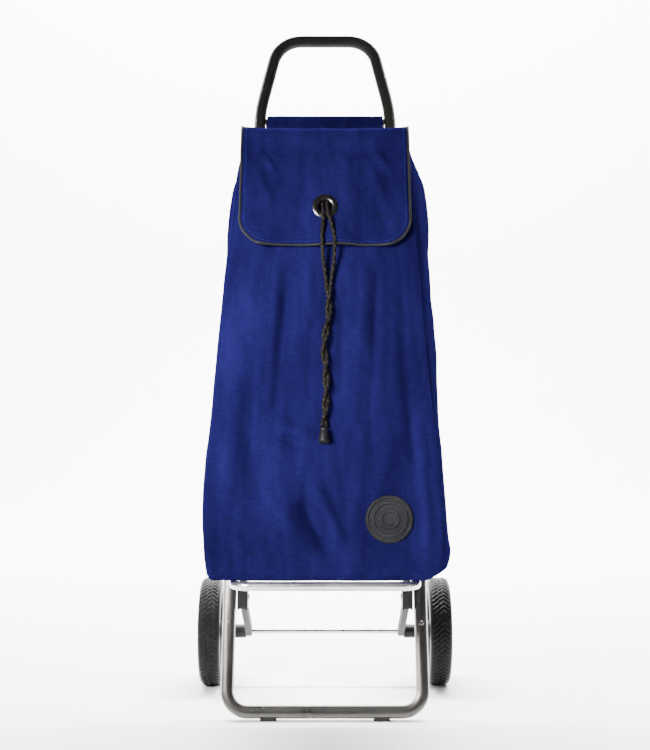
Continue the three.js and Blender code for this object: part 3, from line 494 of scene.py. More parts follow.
# Each point is x, the distance in front of the bag's front, and z.
LEFT_TOP = [
    (-13.5, -4.5, 803), (-8, -3.6, 802.6), (-4.6, 0.9, 800), (-4.2, 3.7, 791), (-3.6, 3.3, 760),
    (-3.1, 3.1, 731), (-3, 3.2, 722), (-3, 5.2, 715), (-3, 10.6, 708), (-3, 14.3, 701),
    (-2.6, 15.2, 692), (-3.9, 15.2, 668), (-3.4, 14.6, 650), (-2.2, 10.5, 634), (0.2, 7, 617),
]
RIGHT_TOP = [
    (13.5, -4.5, 803), (8, -3.6, 802.6), (4.6, 0.9, 800), (4.2, 3.7, 791), (3.6, 3.3, 760),
    (3.1, 3.1, 731), (3, 3.2, 722), (3, 5.2, 715), (3.2, 10.6, 708), (4, 14.3, 701), (6.6, 15.2, 692),
    (12.6, 15.2, 668), (12.8, 14.6, 650), (12, 10.5, 634), (9.6, 7, 617),
]
TWIST = [(4.6, 600), (5.2, 580), (4.7, 558), (0, 531), (-1.2, 514), (1.1, 492), (1.6, 456), (0, 433),
         (-1.2, 413.9)]
TURNS = 3
TWIST_LIFT = 6.6
TWIST_R = 2.6


def strand_line(top, sign):
    middle = resample([(x, 0, z) for x, z in TWIST], 3.0)
    points = [(x, lift, z) for x, lift, z in top]
    for i, (x, _, z) in enumerate(middle):
        angle = 2 * math.pi * TURNS * i / (len(middle) - 1)
        lift = TWIST_LIFT + sign * TWIST_R * math.sin(angle)
        points.append((x + sign * TWIST_R * math.cos(angle), lift, z))
    placed = []
    for x, lift, z in points:
        stand = relief(x, z) * float(smooth((700 - z) / 90)) if z < 700 else 0.0
        placed.append((x, float(front_y(z)) - lift - stand, z))
    return resample(placed, 0.9)


def braid(a, s):
    """The radius of an eight-strand braid at an angle and a distance along it."""
    left = math.sin(4 * a + s * 1.05)
    right = math.sin(4 * a - s * 1.05)
    return STRAND_R * (1 + 0.055 * max(left, right) - 0.03)


strands = {}
for side, top, sign in (("left", LEFT_TOP, -1), ("right", RIGHT_TOP, 1)):
    line = strand_line(top, sign)
    made = tube(f"drawcord_{side}_braid", line, braid, 16)
    finish_piece(made, CORD)
    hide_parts(f"drawcord_strand_{side}")
    strands[side] = (made, line)


def rounded_ring(half, front, back, radius, mouth, z):
    """The line round the bag's mouth, from beside the front break round the back to the other side."""
    points = [(mouth, front, z)]
    for cx, cy, start in ((half - radius, front + radius, -90), (half - radius, back - radius, 0),
                          (-half + radius, back - radius, 90), (-half + radius, front + radius, 180)):
        for k in range(7):
            a = math.radians(start + 15 * k)
            points.append((cx + radius * math.cos(a), cy + radius * math.sin(a), z))
    points.append((-mouth, front, z))
    line = np.array(points, float)
    run = np.concatenate([[0], np.cumsum(np.linalg.norm(np.diff(line, axis=0), axis=1))])
    at = np.linspace(0, run[-1], int(run[-1] / 1.5))
    return np.stack([np.interp(at, run, line[:, k]) for k in range(3)], axis=1)


HEM_Z = 803.0
HEM_FRONT = float(front_y(HEM_Z)) + 4.5
HEM_BACK = back_y(HEM_Z) - 8.3
HEM_HALF = 108.3
mouth_line = rounded_ring(HEM_HALF, HEM_FRONT, HEM_BACK, 14, 14, HEM_Z)
loop = finish_piece(tube("drawcord_loop_braid", mouth_line, braid, 12), CORD)
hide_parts("drawcord_loop")

# The bell hangs down the slope from the strands' ends.
BELL_PROFILE = [(0, 0), (3.8, 0), (4.7, -0.5), (5.1, -1.6), (5.3, -3), (5.0, -3.6), (5.05, -4.2),
                (5.5, -5), (6.3, -9), (6.9, -13), (7.4, -16.6), (7.55, -18.2), (7.1, -19), (6.2, -19),
                (5.6, -16), (4.9, -10), (0, -10)]


def build_bell():
    lean = math.atan2(float(front_y(413.6) - front_y(411.6)), 2.0)
    down = np.array((0, math.sin(lean), math.cos(lean)))
    out = np.array((0, -math.cos(lean), math.sin(lean)))
    right = np.array((1.0, 0, 0))
    top = np.array((-1.2, float(front_y(412.6)) - 8 - relief(-1.2, 404), 412.6))
    points, segments = [], 36
    for k in range(segments):
        a = 2 * math.pi * k / segments
        for r, h in BELL_PROFILE:
            points.append(top + down * h + (right * math.cos(a) + out * math.sin(a)) * r)
    n = len(BELL_PROFILE)
    faces = [(k * n + i, ((k + 1) % segments) * n + i, ((k + 1) % segments) * n + i + 1, k * n + i + 1)
             for k in range(segments) for i in range(n - 1)]
    return make_mesh("drawcord_bell", points, faces)


bell = finish_piece(build_bell(), BLACK)
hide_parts("cord_bell")

for piece in (strands["left"][0], strands["right"][0], loop, bell):
    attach(piece, "frame")
for side, far, pieces in (("left", "fitting", [bell]), ("right", "object", [])):
    made, line = strands[side]

# ---- The bag's shell ---------------------------------------------------------------------------


def side_point(sign, s, z):
    """A point of a side panel; s runs from 0 at the back seam to 1 at the front seam."""
    seam = along(SEAM_RIGHT if sign > 0 else SEAM_LEFT, z)
    swell = along(SWELL_RIGHT if sign > 0 else SWELL_LEFT, z)
    back_half = np.interp(z, *zip(*HALF_LINE))
    shape = math.sin(math.pi * s**1.35) ** 0.75
    x = back_half + (seam - back_half) * s + swell * shape
    pleat = 2.6 * wobble(s * 90, z, 12.0 + sign, 26, 90) + 1.2 * wobble(s * 120, z, 3.0 + sign, 12, 40)
    for s0, z0, z1, size in ((0.66, 640, 790, 4.5), (0.42, 560, 780, -4), (0.8, 600, 780, -3.5),
                             (0.3, 260, 460, 3), (0.6, 240, 420, -3), (0.5, 430, 600, 2.5)):
        place = s0 + 0.05 * math.sin(z / 70)
        reach = float(smooth((z - z0) / 50) * smooth((z1 - z) / 50))
        pleat += size * math.exp(-(((s - place) / 0.07) ** 2)) * reach
    gather = 2.0 * math.sin(s * 46) * float(smooth((z - 740) / 55))
    x += (pleat + gather) * math.sin(math.pi * s) ** 0.6
    if sign > 0:
        x -= 13 * float(smooth((234 - z) / 15)) * s
    front, back = float(front_y(z)), back_y(z)
    return (sign * x, back + (front - back) * s, z)


def front_point(u, z):
    left, right = -along(SEAM_LEFT, z), along(SEAM_RIGHT, z)
    right -= 13 * float(smooth((234 - z) / 15))
    x = left + (right - left) * u
    gather = 1.1 * math.sin(x * 0.45) * float(smooth((z - 745) / 50)) * math.sin(math.pi * u) ** 0.5
    return (x, float(front_y(z)) - relief(x, z) - gather, z)


def back_point(u, z):
    half = np.interp(z, *zip(*HALF_LINE))
    x = half - 2 * half * u
    dip = (2.5 + 1.6 * wobble(x, z, 21.0, 60, 90)) * math.sin(math.pi * u) ** 0.5
    return (x, back_y(z) - dip, z)


BACK_COLS, SIDE_COLS, FRONT_COLS = 26, 30, 84
BOTTOM_Z = 219.0


def shell_ring(z):
    """Points round the bag at a height: right side, front, left side, back."""
    ring = [side_point(1, s, z) for s in np.linspace(0, 1, SIDE_COLS, endpoint=False)]
    ring += [front_point(1 - u, z) for u in np.linspace(0, 1, FRONT_COLS, endpoint=False)]
    ring += [side_point(-1, 1 - s, z) for s in np.linspace(0, 1, SIDE_COLS, endpoint=False)]
    ring += [back_point(1 - u, z) for u in np.linspace(0, 1, BACK_COLS, endpoint=False)]
    return ring


def tuck(ring, amount):
    """Draws a ring of points in towards the bag's middle."""
    out = []
    for p in ring:
        d = np.array((p[0], p[1] - BAG_MIDDLE_Y))
        x = p[0] - amount * d[0] / max(abs(d[0]), 60)
        y = p[1] - amount * d[1] / max(abs(d[1]), 60)
        out.append((x, y, p[2]))
    return out


def build_shell():
    heights = [BOTTOM_Z, BOTTOM_Z + 0.8, BOTTOM_Z + 2.4, BOTTOM_Z + 4.8, BOTTOM_Z + 8]
    inset = [5.0, 3.0, 1.4, 0.4, 0.0]
    heights += list(np.arange(232, 797, 4.0)) + [797.0]
    rows = []
    for i, z in enumerate(heights):
        ring = shell_ring(max(z, 219.5))
        ring = [(x, y, z) for x, y, _ in ring]
        rows.append(tuck(ring, inset[i]) if i < len(inset) else ring)
    cols = len(rows[0])
    points = [p for row in rows for p in row]
    faces = grid(len(rows), cols, closed=True)
    steps = [math.dist(rows[30][c], rows[30][(c + 1) % cols]) for c in range(cols - 1)]
    run = np.concatenate([[0], np.cumsum(steps)])
    uvs = [(run[i % cols] / 1000, points[i][2] / 1000) for i in range(len(points))]
    # The base: rings drawn in to the middle, which sags a little between the platform's sides.
    first = 0
    base = rows[0]
    for k in range(1, 9):
        share = 1 - k / 9
        start = len(points)
        for x, y, z in base:
            points.append((x * share, BAG_MIDDLE_Y + (y - BAG_MIDDLE_Y) * share, z - 0.4))
            uvs.append((x * share / 1000, (y - BAG_MIDDLE_Y) * share / 1000))
        faces += [(first + (c + 1) % cols, first + c, start + c, start + (c + 1) % cols) for c in range(cols)]
        first = start
    faces.append(tuple(first + c for c in range(cols)))
    return make_mesh("bag_shell", points, faces, uvs)


def follow_platform(obj):
    """Bakes the piece's transform into its mesh."""
    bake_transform(obj)
    return obj


shell = build_shell()
finish_piece(shell, BLUE)
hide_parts("bag_front_panel", "bag_back_panel", "bag_gusset_left", "bag_gusset_right",
            "bag_base_panel")
follow_platform(shell)
thick = shell.modifiers.new("cloth", "SOLIDIFY")
thick.thickness = 0.0012
thick.offset = -1


def seam_line(points, name):
    """A folded seam: a low ridge along two panels' edge."""
    line = resample(points, 3.0)
    ridge = tube(name, line, lambda a, s: 1.35 + 0.2 * math.sin(s * 0.9), 8)
    finish_piece(ridge, BLUE)
    follow_platform(ridge)
    return ridge


for side, sign in (("left", -1), ("right", 1)):
    heights = np.arange(226, 797, 14.0)
    front_edge = [side_point(sign, 1, z) for z in heights]
    back_edge = [side_point(sign, 0, z) for z in heights]
    seam_line(front_edge, f"front_seam_{side}")
    seam_line([(x, y - 0.5, z) for x, y, z in back_edge], f"back_seam_{side}")
    u0 = 0.026 if sign < 0 else 0.974
    inside = [front_point(u0, z) for z in np.arange(240, 797, 6.0)]
    row = stitches(f"front_stitches_{side}", [(x, y - 0.3, z) for x, y, z in inside],
                   [(0, -0.97, 0.26)] * len(inside))
    follow_platform(finish_piece(row, BLUE_THREAD))

bottom_edge = [front_point(u, 232) for u in np.linspace(0.03, 0.97, 60)]
row = stitches("base_stitches", [(x, y - 0.3, z) for x, y, z in bottom_edge], [(0, -0.99, 0.1)] * 60)
follow_platform(finish_piece(row, BLUE_THREAD))

# The back panel runs on above the mouth, up to the sleeve on the hanger.
back_rows = []
for z in np.linspace(797, 852, 12):
    half = np.interp(z, *zip(*HALF_LINE)) - 0.5
    for u in np.linspace(-1, 1, 60):
        ripple = 0.8 * wobble(u * 100, z, 31.0, 22, 30)
        back_rows.append((u * half, back_y(z) - 1.0 - ripple, z))
upper_back = make_mesh("bag_back_upper", back_rows, grid(12, 60),
                       [(p[0] / 1000, p[2] / 1000) for p in back_rows])
upper_back.modifiers.new("cloth", "SOLIDIFY").thickness = 0.0012
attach(finish_piece(upper_back, BLUE), "frame")

# ---- Hem round the mouth: a gathered tunnel over the drawcord ----------------------------------


def build_hem():
    points, uvs = [], []
    frames = frames_along(mouth_line)
    run = np.concatenate([[0], np.cumsum(np.linalg.norm(np.diff(mouth_line, axis=0), axis=1))])
    sides = 22
    for centre, (tangent, _, _), s in zip(mouth_line, frames, run):
        out = np.cross(tangent, (0, 0, 1.0))
        pleat = math.sin(s * 0.52 + 1.2 * math.sin(s * 0.05))
        for k in range(sides):
            a = 2 * math.pi * k / sides
            wide = 4.6 + 0.7 * pleat * math.cos(a) ** 2
            tall = 8.8 + 0.5 * pleat
            c, t = math.cos(a), math.sin(a)
            points.append(centre + out * wide * math.copysign(abs(c) ** 0.6, c)
                          + np.array((0, 0, 1.0)) * tall * math.copysign(abs(t) ** 0.75, t))
            uvs.append((s / 1000, a * 0.006))
    return make_mesh("mouth_hem_cloth", points, grid(len(mouth_line), sides, closed=True), uvs)


hem = finish_piece(build_hem(), BLUE)
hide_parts("bag_mouth_hem")
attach(hem, "frame")

# ---- Lid flap ----------------------------------------------------------------------------------

HINGE = (230.6, 850.0)
DROP_OFFSET = 8.8 / math.cos(FLAP_LEAN)
FLAP_TOP_Z, FLAP_BOTTOM_Z = 821.0, 657.0
EYELET_Z = 709.6


def drop_y(z):
    return float(front_y(z)) - DROP_OFFSET


def flap_profile():
    """Points (y, z) down the flap's middle, from the hinge over a rounded edge to the bottom."""
    a = np.array(HINGE)
    b = np.array((drop_y(FLAP_TOP_Z), FLAP_TOP_Z))
    c = np.array((drop_y(FLAP_BOTTOM_Z), FLAP_BOTTOM_Z))
    ab, bc = (b - a) / np.linalg.norm(b - a), (c - b) / np.linalg.norm(c - b)
    turn = math.acos(float(np.dot(ab, bc)))
    reach = 11 * math.tan(turn / 2)
    p, q = b - ab * reach, b + bc * reach
    points = [a + (p - a) * t for t in np.linspace(0, 1, 46, endpoint=False)]
    points += [(1 - t) ** 2 * p + 2 * t * (1 - t) * b + t * t * q
               for t in np.linspace(0, 1, 9, endpoint=False)]
    length = np.linalg.norm(c - q)
    stops = list(np.linspace(0, 1 - 40 / length, 38, endpoint=False))
    stops += [1 - 40 / length * (1 - math.sin(math.pi / 2 * k / 16)) for k in range(17)]
    points += [q + (c - q) * t for t in stops]
    return np.array(points)


PROFILE = flap_profile()
PROFILE_RUN = np.concatenate([[0], np.cumsum(np.linalg.norm(np.diff(PROFILE, axis=0), axis=1))])
FLAP_LENGTH = float(PROFILE_RUN[-1])
CORNER = 38.0


def flap_half(s):
    """The flap's half width at a distance from its hinge."""
    to_end = FLAP_LENGTH - s
    half = float(np.interp(s, (0, 245, FLAP_LENGTH), (110, 112.5, 114)))
    if to_end < CORNER:
        half -= CORNER - math.sqrt(max(0.0, CORNER**2 - (CORNER - to_end) ** 2))
    return half


def flap_point(u, s, lift=0.0):
    """A point of the flap: u is -1 to 1 across, s the way from the hinge, lift outwards from the cloth."""
    y, z = (float(np.interp(s, PROFILE_RUN, PROFILE[:, k])) for k in (0, 1))
    y2, z2 = (float(np.interp(min(s + 1, FLAP_LENGTH), PROFILE_RUN, PROFILE[:, k])) for k in (0, 1))
    y1, z1 = (float(np.interp(max(s - 1, 0), PROFILE_RUN, PROFILE[:, k])) for k in (0, 1))
    n = math.hypot(y2 - y1, z2 - z1)
    normal = ((z2 - z1) / n, -(y2 - y1) / n)
    x = u * flap_half(s)
    corner_s = 250.0
    on_top = float(smooth((corner_s - s) / 60) * smooth(s / 60))
    on_drop = float(smooth((s - corner_s - 6) / 40))
    sag = -5.0 * on_top * math.cos(u * math.pi / 2) + 1.0 * on_top * wobble(x, s, 3.0, 40, 50)
    low = float(smooth((s - 330) / 90))
    near = math.hypot(x, z - EYELET_Z)
    quiet = float(smooth((near - 19) / 24))
    wave = 1.6 * math.sin(x * 0.052 + 0.8) * low
    wave += 1.5 * wobble(x, s, 8.0, 34, 42)
    wave += 0.6 * wobble(x, s, 2.0, 13, 16)
    fold = crease(x, s, -46, 268, -6, 262, 4.0, 1.4) + crease(x, s, 30, 280, 84, 262, 6.0, -1.2)
    fold += crease(x, s, -96, 300, -70, 380, 7.0, 1.2) + crease(x, s, 62, 300, 90, 396, 8.0, 1.3)
    fold += crease(x, s, -70, 262, -100, 320, 6.0, -1.3) + crease(x, s, 20, 330, 60, 350, 6.0, 0.9)
    edge_lift = 1.4 * abs(u) ** 6 * on_drop
    hollow = 5.9 * math.exp(-(((s - 279 - 5 * math.sin(x * 0.045)) / 14) ** 2)) * (1 - abs(u) ** 3)
    hollow *= 1 - 0.8 * math.exp(-((x / 24) ** 2))
    pucker = crease(x, s, -34, 264, -4, 270, 4.5, 3.2) + crease(x, s, -2, 268, 46, 262, 5.0, 1.8)
    pucker += crease(x, s, -98, 268, -60, 330, 5.0, 2.2) + crease(x, s, 60, 268, 96, 330, 6.0, 2.0)
    out = sag + ((2.1 * (wave + fold) + 1.3 * pucker - hollow) * on_drop + edge_lift) * quiet + lift
    dip = 0.8 * math.exp(-(((s - corner_s) / 14) ** 2)) * (1 - abs(u)) * abs(math.sin(x * 0.05))
    rise = 2.2 * abs(u) ** 5 * math.exp(-(((s - corner_s) / 22) ** 2)) - dip
    return (x, y + normal[0] * out, z + normal[1] * out + rise)


def flap_normal(s):
    y2, z2 = (float(np.interp(min(s + 1, FLAP_LENGTH), PROFILE_RUN, PROFILE[:, k])) for k in (0, 1))
    y1, z1 = (float(np.interp(max(s - 1, 0), PROFILE_RUN, PROFILE[:, k])) for k in (0, 1))
    n = math.hypot(y2 - y1, z2 - z1)
    return (0, (z2 - z1) / n, -(y2 - y1) / n)


def build_flap():
    cols = 97
    points, uvs = [], []
    for s in PROFILE_RUN:
        for u in np.linspace(-1, 1, cols):
            points.append(flap_point(u, s))
            uvs.append((points[-1][0] / 1000, s / 1000))
    faces = []
    for face in grid(len(PROFILE_RUN), cols):
        middle = np.mean([points[i] for i in face], axis=0)
        if math.hypot(middle[0], (middle[2] - EYELET_Z) / math.cos(FLAP_LEAN)) > 13.4 or middle[2] > 740:
            faces.append(face)
    return make_mesh("flap_cloth", points, faces, uvs)


flap = finish_piece(build_flap(), BLUE)
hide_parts("flap_panel")
flap_thick = flap.modifiers.new("cloth", "SOLIDIFY")
flap_thick.thickness = 0.0012
flap_thick.offset = 0


def flap_outline(inside, lift, start=2):
    """Points round the flap's edge from the hinge down the left, across and up, drawn inside by some mm."""
    left = []
    for s in list(np.linspace(start, FLAP_LENGTH - CORNER, 90, endpoint=False)):
        left.append((s, -(flap_half(s) - inside)))
    radius = CORNER - inside
    for k in range(15):
        a = math.pi / 2 * k / 14
        s = FLAP_LENGTH - CORNER + radius * math.sin(a)
        left.append((s, -(114 - CORNER + radius * math.cos(a))))
    across = [(FLAP_LENGTH - inside, x) for x in np.linspace(-(114 - CORNER), 114 - CORNER, 50)[1:-1]]
    path = left + across + [(s, -x) for s, x in reversed(left)]
    points = []
    for s, x in path:
        s = min(max(s, 0), FLAP_LENGTH)
        half = max(flap_half(s), 1.0)
        u = max(-1.25, min(1.25, x / half))
        points.append(flap_point(u, s, lift))
    normals = [flap_normal(min(s, FLAP_LENGTH)) for s, _ in path]
    return points, normals


edge_points, _ = flap_outline(-1.6, 0.2)
piping = finish_piece(tube("flap_piping_cloth", resample(edge_points, 2.0), 1.75, 10), PIPING)
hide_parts("flap_piping")
inner_points, inner_normals = flap_outline(4.4, 0.65, 12)
flap_row = finish_piece(stitches("flap_stitches", inner_points, inner_normals), BLUE_THREAD)
for piece in (flap, piping, flap_row):
    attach(piece, "flap")

# ---- Sleeve on the hanger ----------------------------------------------------------------------


def hanger_point(x, n, v):
    """A point by the hanger: n across the frame's plane (front is negative), v along it, from the rod."""
    along_v = 898.2 + v
    return (x, n * math.cos(LEAN) + along_v * math.sin(LEAN),
            FOOT_Z + along_v * math.cos(LEAN) - n * math.sin(LEAN))


def build_sleeve():
    points, uvs, cols, sides = [], [], 90, 34
    for i in range(cols):
        x = -90.4 + 180.8 * i / (cols - 1)
        for k in range(sides):
            a = 2 * math.pi * k / sides
            c, t = math.cos(a), math.sin(a)
            n = 5.5 * math.copysign(abs(c) ** 0.7, c)
            v = 12.5 * math.copysign(abs(t) ** 0.85, t)
            pinch = 1 - 0.3 * float(smooth((-v - 4) / 8))
            n = n * pinch + 0.6 * wobble(x, v, 40.0, 16, 9) + 0.35 * wobble(x, v, 44.0, 7, 12)
            points.append(hanger_point(x, n, v))
            uvs.append((x / 1000, a * 0.0085))
    return make_mesh("hanger_sleeve_cloth", points, grid(cols, sides, closed=True), uvs)


sleeve = finish_piece(build_sleeve(), BLUE)
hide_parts("bag_hanger_sleeve")
sleeve.modifiers.new("cloth", "SOLIDIFY").thickness = 0.001
tongue_points = []
for k in range(10):
    t = k / 9
    for x in np.linspace(-88, 88, 60):
        ripple = 0.5 * wobble(x, t * 15, 50.0, 12, 9)
        tongue_points.append(hanger_point(x, -2.2 - 8.0 * t + ripple, -10.5 - 15.4 * t))
tongue = make_mesh("hanger_tongue_cloth", tongue_points, grid(10, 60),
                   [(p[0] / 1000, p[2] / 1000) for p in tongue_points])
finish_piece(tongue, BLUE).modifiers.new("cloth", "SOLIDIFY").thickness = 0.0012
sleeve_row = [hanger_point(x, -5.2, -8.0) for x in np.linspace(-88, 88, 60)]
sleeve_row = stitches("sleeve_stitches", sleeve_row, [(0, -0.96, 0.28)] * 60)
finish_piece(sleeve_row, BLUE_THREAD)
for piece in (sleeve, tongue, sleeve_row):
    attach(piece, "frame")

# ---- Straps, board and badge -------------------------------------------------------------------


def soft_copy(node, name, material, roughness=0.0):
    """A copy of a CAD node's mesh, its points drifted by noise when roughness is given."""
    data = frame["nodes"][node].data.copy()
    obj = bpy.data.objects.new(name, data)
    bpy.context.scene.collection.objects.link(obj)
    if roughness:
        for v in data.vertices:
            drift = Vector((noise.noise(v.co * 90), noise.noise(v.co * 90 + Vector((5, 5, 5))), 0))
            v.co += drift * roughness
    finish_piece(obj, material)
    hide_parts(node)
    return obj


def build_strap(side, sign):
    """A band of webbing round the tube, in a slightly uneven loop."""
    box_low, box_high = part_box(f"bag_tie_strap_{side}")
    centre = np.array([(box_low[k] + box_high[k]) / 2 * 1000 for k in range(3)])
    centre[1] += CENTRE_Y
    across = (box_high[0] - box_low[0]) * 500 - 1.2
    deep = 8.6
    points, sides, rows = [], 40, 9
    taper = sign * -0.0446
    for r in range(rows):
        v = -12.5 + 25 * r / (rows - 1)
        for k in range(sides):
            a = 2 * math.pi * k / sides
            c, t = math.cos(a), math.sin(a)
            x = across * math.copysign(abs(c) ** 0.55, c) + v * taper + 0.25 * wobble(a * 20, v, 3.0, 9, 9)
            n = deep * math.copysign(abs(t) ** 0.55, t)
            points.append((centre[0] + x, centre[1] + n * math.cos(LEAN) + v * math.sin(LEAN),
                           centre[2] + v * math.cos(LEAN) - n * math.sin(LEAN)))
    strap = make_mesh(f"tie_strap_{side}_webbing", points, grid(rows, sides, closed=True))
    strap.modifiers.new("webbing", "SOLIDIFY").thickness = 0.0011
    finish_piece(strap, WEBBING)
    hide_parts(f"bag_tie_strap_{side}")
    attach(strap, "frame")


build_strap("left", -1)
build_strap("right", 1)
follow_platform(soft_copy("bag_base_board", "base_board_panel", BOARD))

BADGE_PROFILE = [(0, 2.2), (8.4, 2.2), (9.0, 3.9), (12.8, 3.9), (13.4, 2.2), (19.0, 2.2), (19.6, 3.9),
                 (23.2, 3.9), (23.8, 2.2), (26.8, 2.2), (27.4, 3.9), (29.6, 3.9), (30.7, 2.4),
                 (30.9, 1.2), (30.7, 0), (4, 0), (4, -5.5), (0, -5.5)]
WASHER_PROFILE = [(4.3, -1.8), (13.4, -1.8), (14, -2.2), (14, -2.8), (13.4, -3.0), (4.3, -3.0), (4.3, -1.8)]


def turned_on_front(name, profile):
    """A disc turned about the line straight out of the bag's front, at the badge."""
    lean = math.atan2(float(front_y(BADGE_Z + 1) - front_y(BADGE_Z - 1)), 2.0)
    out = np.array((0, -math.cos(lean), math.sin(lean)))
    up = np.array((0, math.sin(lean), math.cos(lean)))
    middle = np.array((BADGE_X, float(front_y(BADGE_Z)), BADGE_Z)) + out * 0.3
    points, segments, n = [], 96, len(profile)
    for k in range(segments):
        a = 2 * math.pi * k / segments
        for r, h in profile:
            points.append(middle + out * h + (np.array((1.0, 0, 0)) * math.cos(a) + up * math.sin(a)) * r)
    faces = [(k * n + i, ((k + 1) % segments) * n + i, ((k + 1) % segments) * n + i + 1, k * n + i + 1)
             for k in range(segments) for i in range(n - 1)]
    return make_mesh(name, points, faces, smooth_faces=False)


for node, profile in (("badge_disc", BADGE_PROFILE), ("badge_washer", WASHER_PROFILE)):
    disc = finish_piece(turned_on_front(node + "_turned", profile), BADGE)
    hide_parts(node)
    follow_platform(disc)

# ---- Tyres -------------------------------------------------------------------------------------

TYRE_SHAPE = [(59.3, -14), (62, -15.6), (66, -16.8), (70, -17.0), (74, -16.8), (77, -15.9),
              (79.2, -14.3), (80.6, -12.6), (81.5, -10.8)]
TREAD = [(82.3, x) for x in np.linspace(-9.2, 9.2, 27)]


def tread_dent(a, x, r):
    """Slanted grooves in three bands, and a groove between the bands."""
    if r < 81:
        ribs = 0.35 * (math.sin(a * 60) > 0.2) if 67 < r < 76 else 0.0
        return ribs
    band = min(abs(x - 3.2), abs(x + 3.2))
    slant = math.sin(a * 66 + (x * 0.75 if abs(x) < 3.2 else -abs(x) * 0.75))
    dent = 2.2 * float(smooth((slant - 0.1) / 0.3))
    return max(dent, 2.2 * float(smooth((0.75 - band) / 0.4)))


def build_tyre(side, sign):
    outline = TYRE_SHAPE + TREAD + [(r, -x) for r, x in reversed(TYRE_SHAPE)]
    tyre = lathe_x(f"tyre_{side}_tread", outline, (sign * 175.5, 236, 82.5), 264, tread_dent)
    finish_piece(tyre, TYRE)
    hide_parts(f"tyre_{side}")
    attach(tyre, f"{side}_wheel")


build_tyre("left", -1)
build_tyre("right", 1)

# ---- CAD nodes that are shown: their materials, and facets shaded smooth -----------------------

SHOWN = {
    "lower_frame_tube": ANODISED, "handle_tube": POLISHED, "handle_trim": TRIM, "hanger_rod": STEEL,
    "platform_tube": POLISHED, "axle_rod": STEEL, "eyelet_front": GUNMETAL, "eyelet_back": GUNMETAL,
}
for stem, material in (("frame_joiner", BLACK), ("hanger_end", BLACK), ("hinge_bracket", BLACK),
                       ("platform_eye", POLISHED), ("axle_bush", BLACK), ("hub_cap", BLACK),
                       ("leg_rivet", ANODISED), ("platform_pin", STEEL), ("arm_pin", STEEL),
                       ("axle_clip", STEEL), ("foot_pad", RUBBER), ("wheel_arm", GREY),
                       ("wheel_rim", GREY), ("wheel_bearing", NYLON)):
    for side in ("left", "right"):
        SHOWN[f"{stem}_{side}"] = material


def rounding_group():
    """Joins the facets' corners and shades them smooth where they meet at a low angle."""
    group = bpy.data.node_groups.new("round_facets", "GeometryNodeTree")
    group.interface.new_socket("Geometry", in_out="INPUT", socket_type="NodeSocketGeometry")
    group.interface.new_socket("Geometry", in_out="OUTPUT", socket_type="NodeSocketGeometry")
    nodes, links = group.nodes, group.links
    start, end = nodes.new("NodeGroupInput"), nodes.new("NodeGroupOutput")
    merge = nodes.new("GeometryNodeMergeByDistance")
    merge.inputs["Distance"].default_value = 0.00002
    drop = nodes.new("GeometryNodeRemoveAttribute")
    drop.inputs["Name"].default_value = "custom_normal"
    faces = nodes.new("GeometryNodeSetShadeSmooth")
    faces.domain = "FACE"
    edges = nodes.new("GeometryNodeSetShadeSmooth")
    edges.domain = "EDGE"
    edges.inputs["Shade Smooth"].default_value = False
    angle = nodes.new("GeometryNodeInputMeshEdgeAngle")
    sharp = nodes.new("FunctionNodeCompare")
    sharp.data_type = "FLOAT"
    sharp.operation = "GREATER_THAN"
    sharp.inputs["B"].default_value = math.radians(37)
    links.new(start.outputs[0], merge.inputs["Geometry"])
    links.new(merge.outputs["Geometry"], drop.inputs["Geometry"])
    links.new(drop.outputs["Geometry"], faces.inputs["Geometry"])
    links.new(faces.outputs["Geometry"], edges.inputs["Geometry"])
    links.new(angle.outputs["Unsigned Angle"], sharp.inputs["A"])
    links.new(sharp.outputs["Result"], edges.inputs["Selection"])
    links.new(edges.outputs["Geometry"], end.inputs[0])
    return group


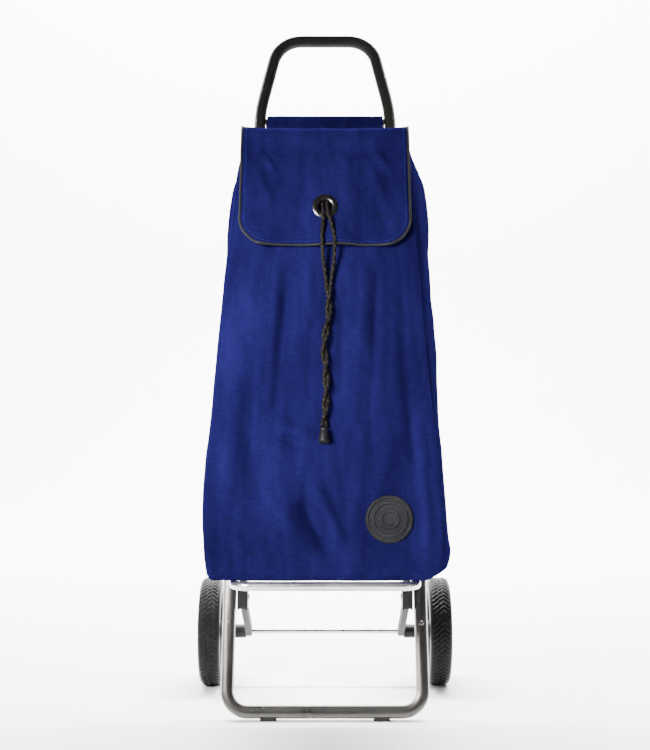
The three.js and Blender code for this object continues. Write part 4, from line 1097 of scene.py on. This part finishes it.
ROUND = rounding_group()
for node, material in SHOWN.items():
    obj = frame["nodes"][node]
    obj.data.materials.clear()
    obj.data.materials.append(material)
    obj.modifiers.new("round_facets", "NODES").node_group = ROUND
for obj in bpy.data.objects:
    if obj.name.endswith("_turned") or obj.name == "base_board_panel":
        obj.modifiers.new("round_facets", "NODES").node_group = ROUND

# ---- Floor, light ------------------------------------------------------------------------------


def build_stage():
    points, faces = [], []
    line = [(-3200, 0), (2600, 0)]
    line += [(2600 + 900 * math.sin(math.pi / 2 * k / 12), 900 - 900 * math.cos(math.pi / 2 * k / 12))
             for k in range(1, 13)]
    line.append((3500, 4500))
    for y, z in line:
        points += [(-5000, y, z), (5000, y, z)]
    faces = [(2 * i, 2 * i + 1, 2 * i + 3, 2 * i + 2) for i in range(len(line) - 1)]
    return make_mesh("studio_floor", points, faces)


floor = build_stage()
pale = Surface("studio_paper", (0.93, 0.93, 0.93), 0.9, Specular_IOR_Level=0.1)
floor.data.materials.append(pale.material)


def area_light(name, where, towards, size, power, colour=(1, 1, 1)):
    data = bpy.data.lights.new(name, "AREA")
    data.shape = "RECTANGLE"
    data.size, data.size_y = size
    data.energy = power
    data.color = colour
    light = bpy.data.objects.new(name, data)
    light.location = where
    light.rotation_mode = "QUATERNION"
    light.rotation_quaternion = (Vector(towards) - Vector(where)).to_track_quat("-Z", "Y")
    bpy.context.scene.collection.objects.link(light)
    return light


key = area_light("key", (-0.75, -1.15, 0.85), (-0.02, 0, 0.46), (0.4, 0.4), 9.5)
key.data.spread = math.radians(62)
area_light("fill", (2.4, -2.0, 0.8), (0, 0, 0.5), (1.2, 1.8), 4)
area_light("top", (0, 0.9, 2.9), (0, 0, 0.2), (2.0, 1.6), 90)
area_light("backdrop", (0, 1.2, 3.4), (0, 3.4, 0.7), (4.5, 1.0), 1500)
world = bpy.data.worlds.new("studio")
world.use_nodes = True
world.node_tree.nodes["Background"].inputs["Color"].default_value = (1, 1, 1, 1)
world.node_tree.nodes["Background"].inputs["Strength"].default_value = 0.12
bpy.context.scene.world = world
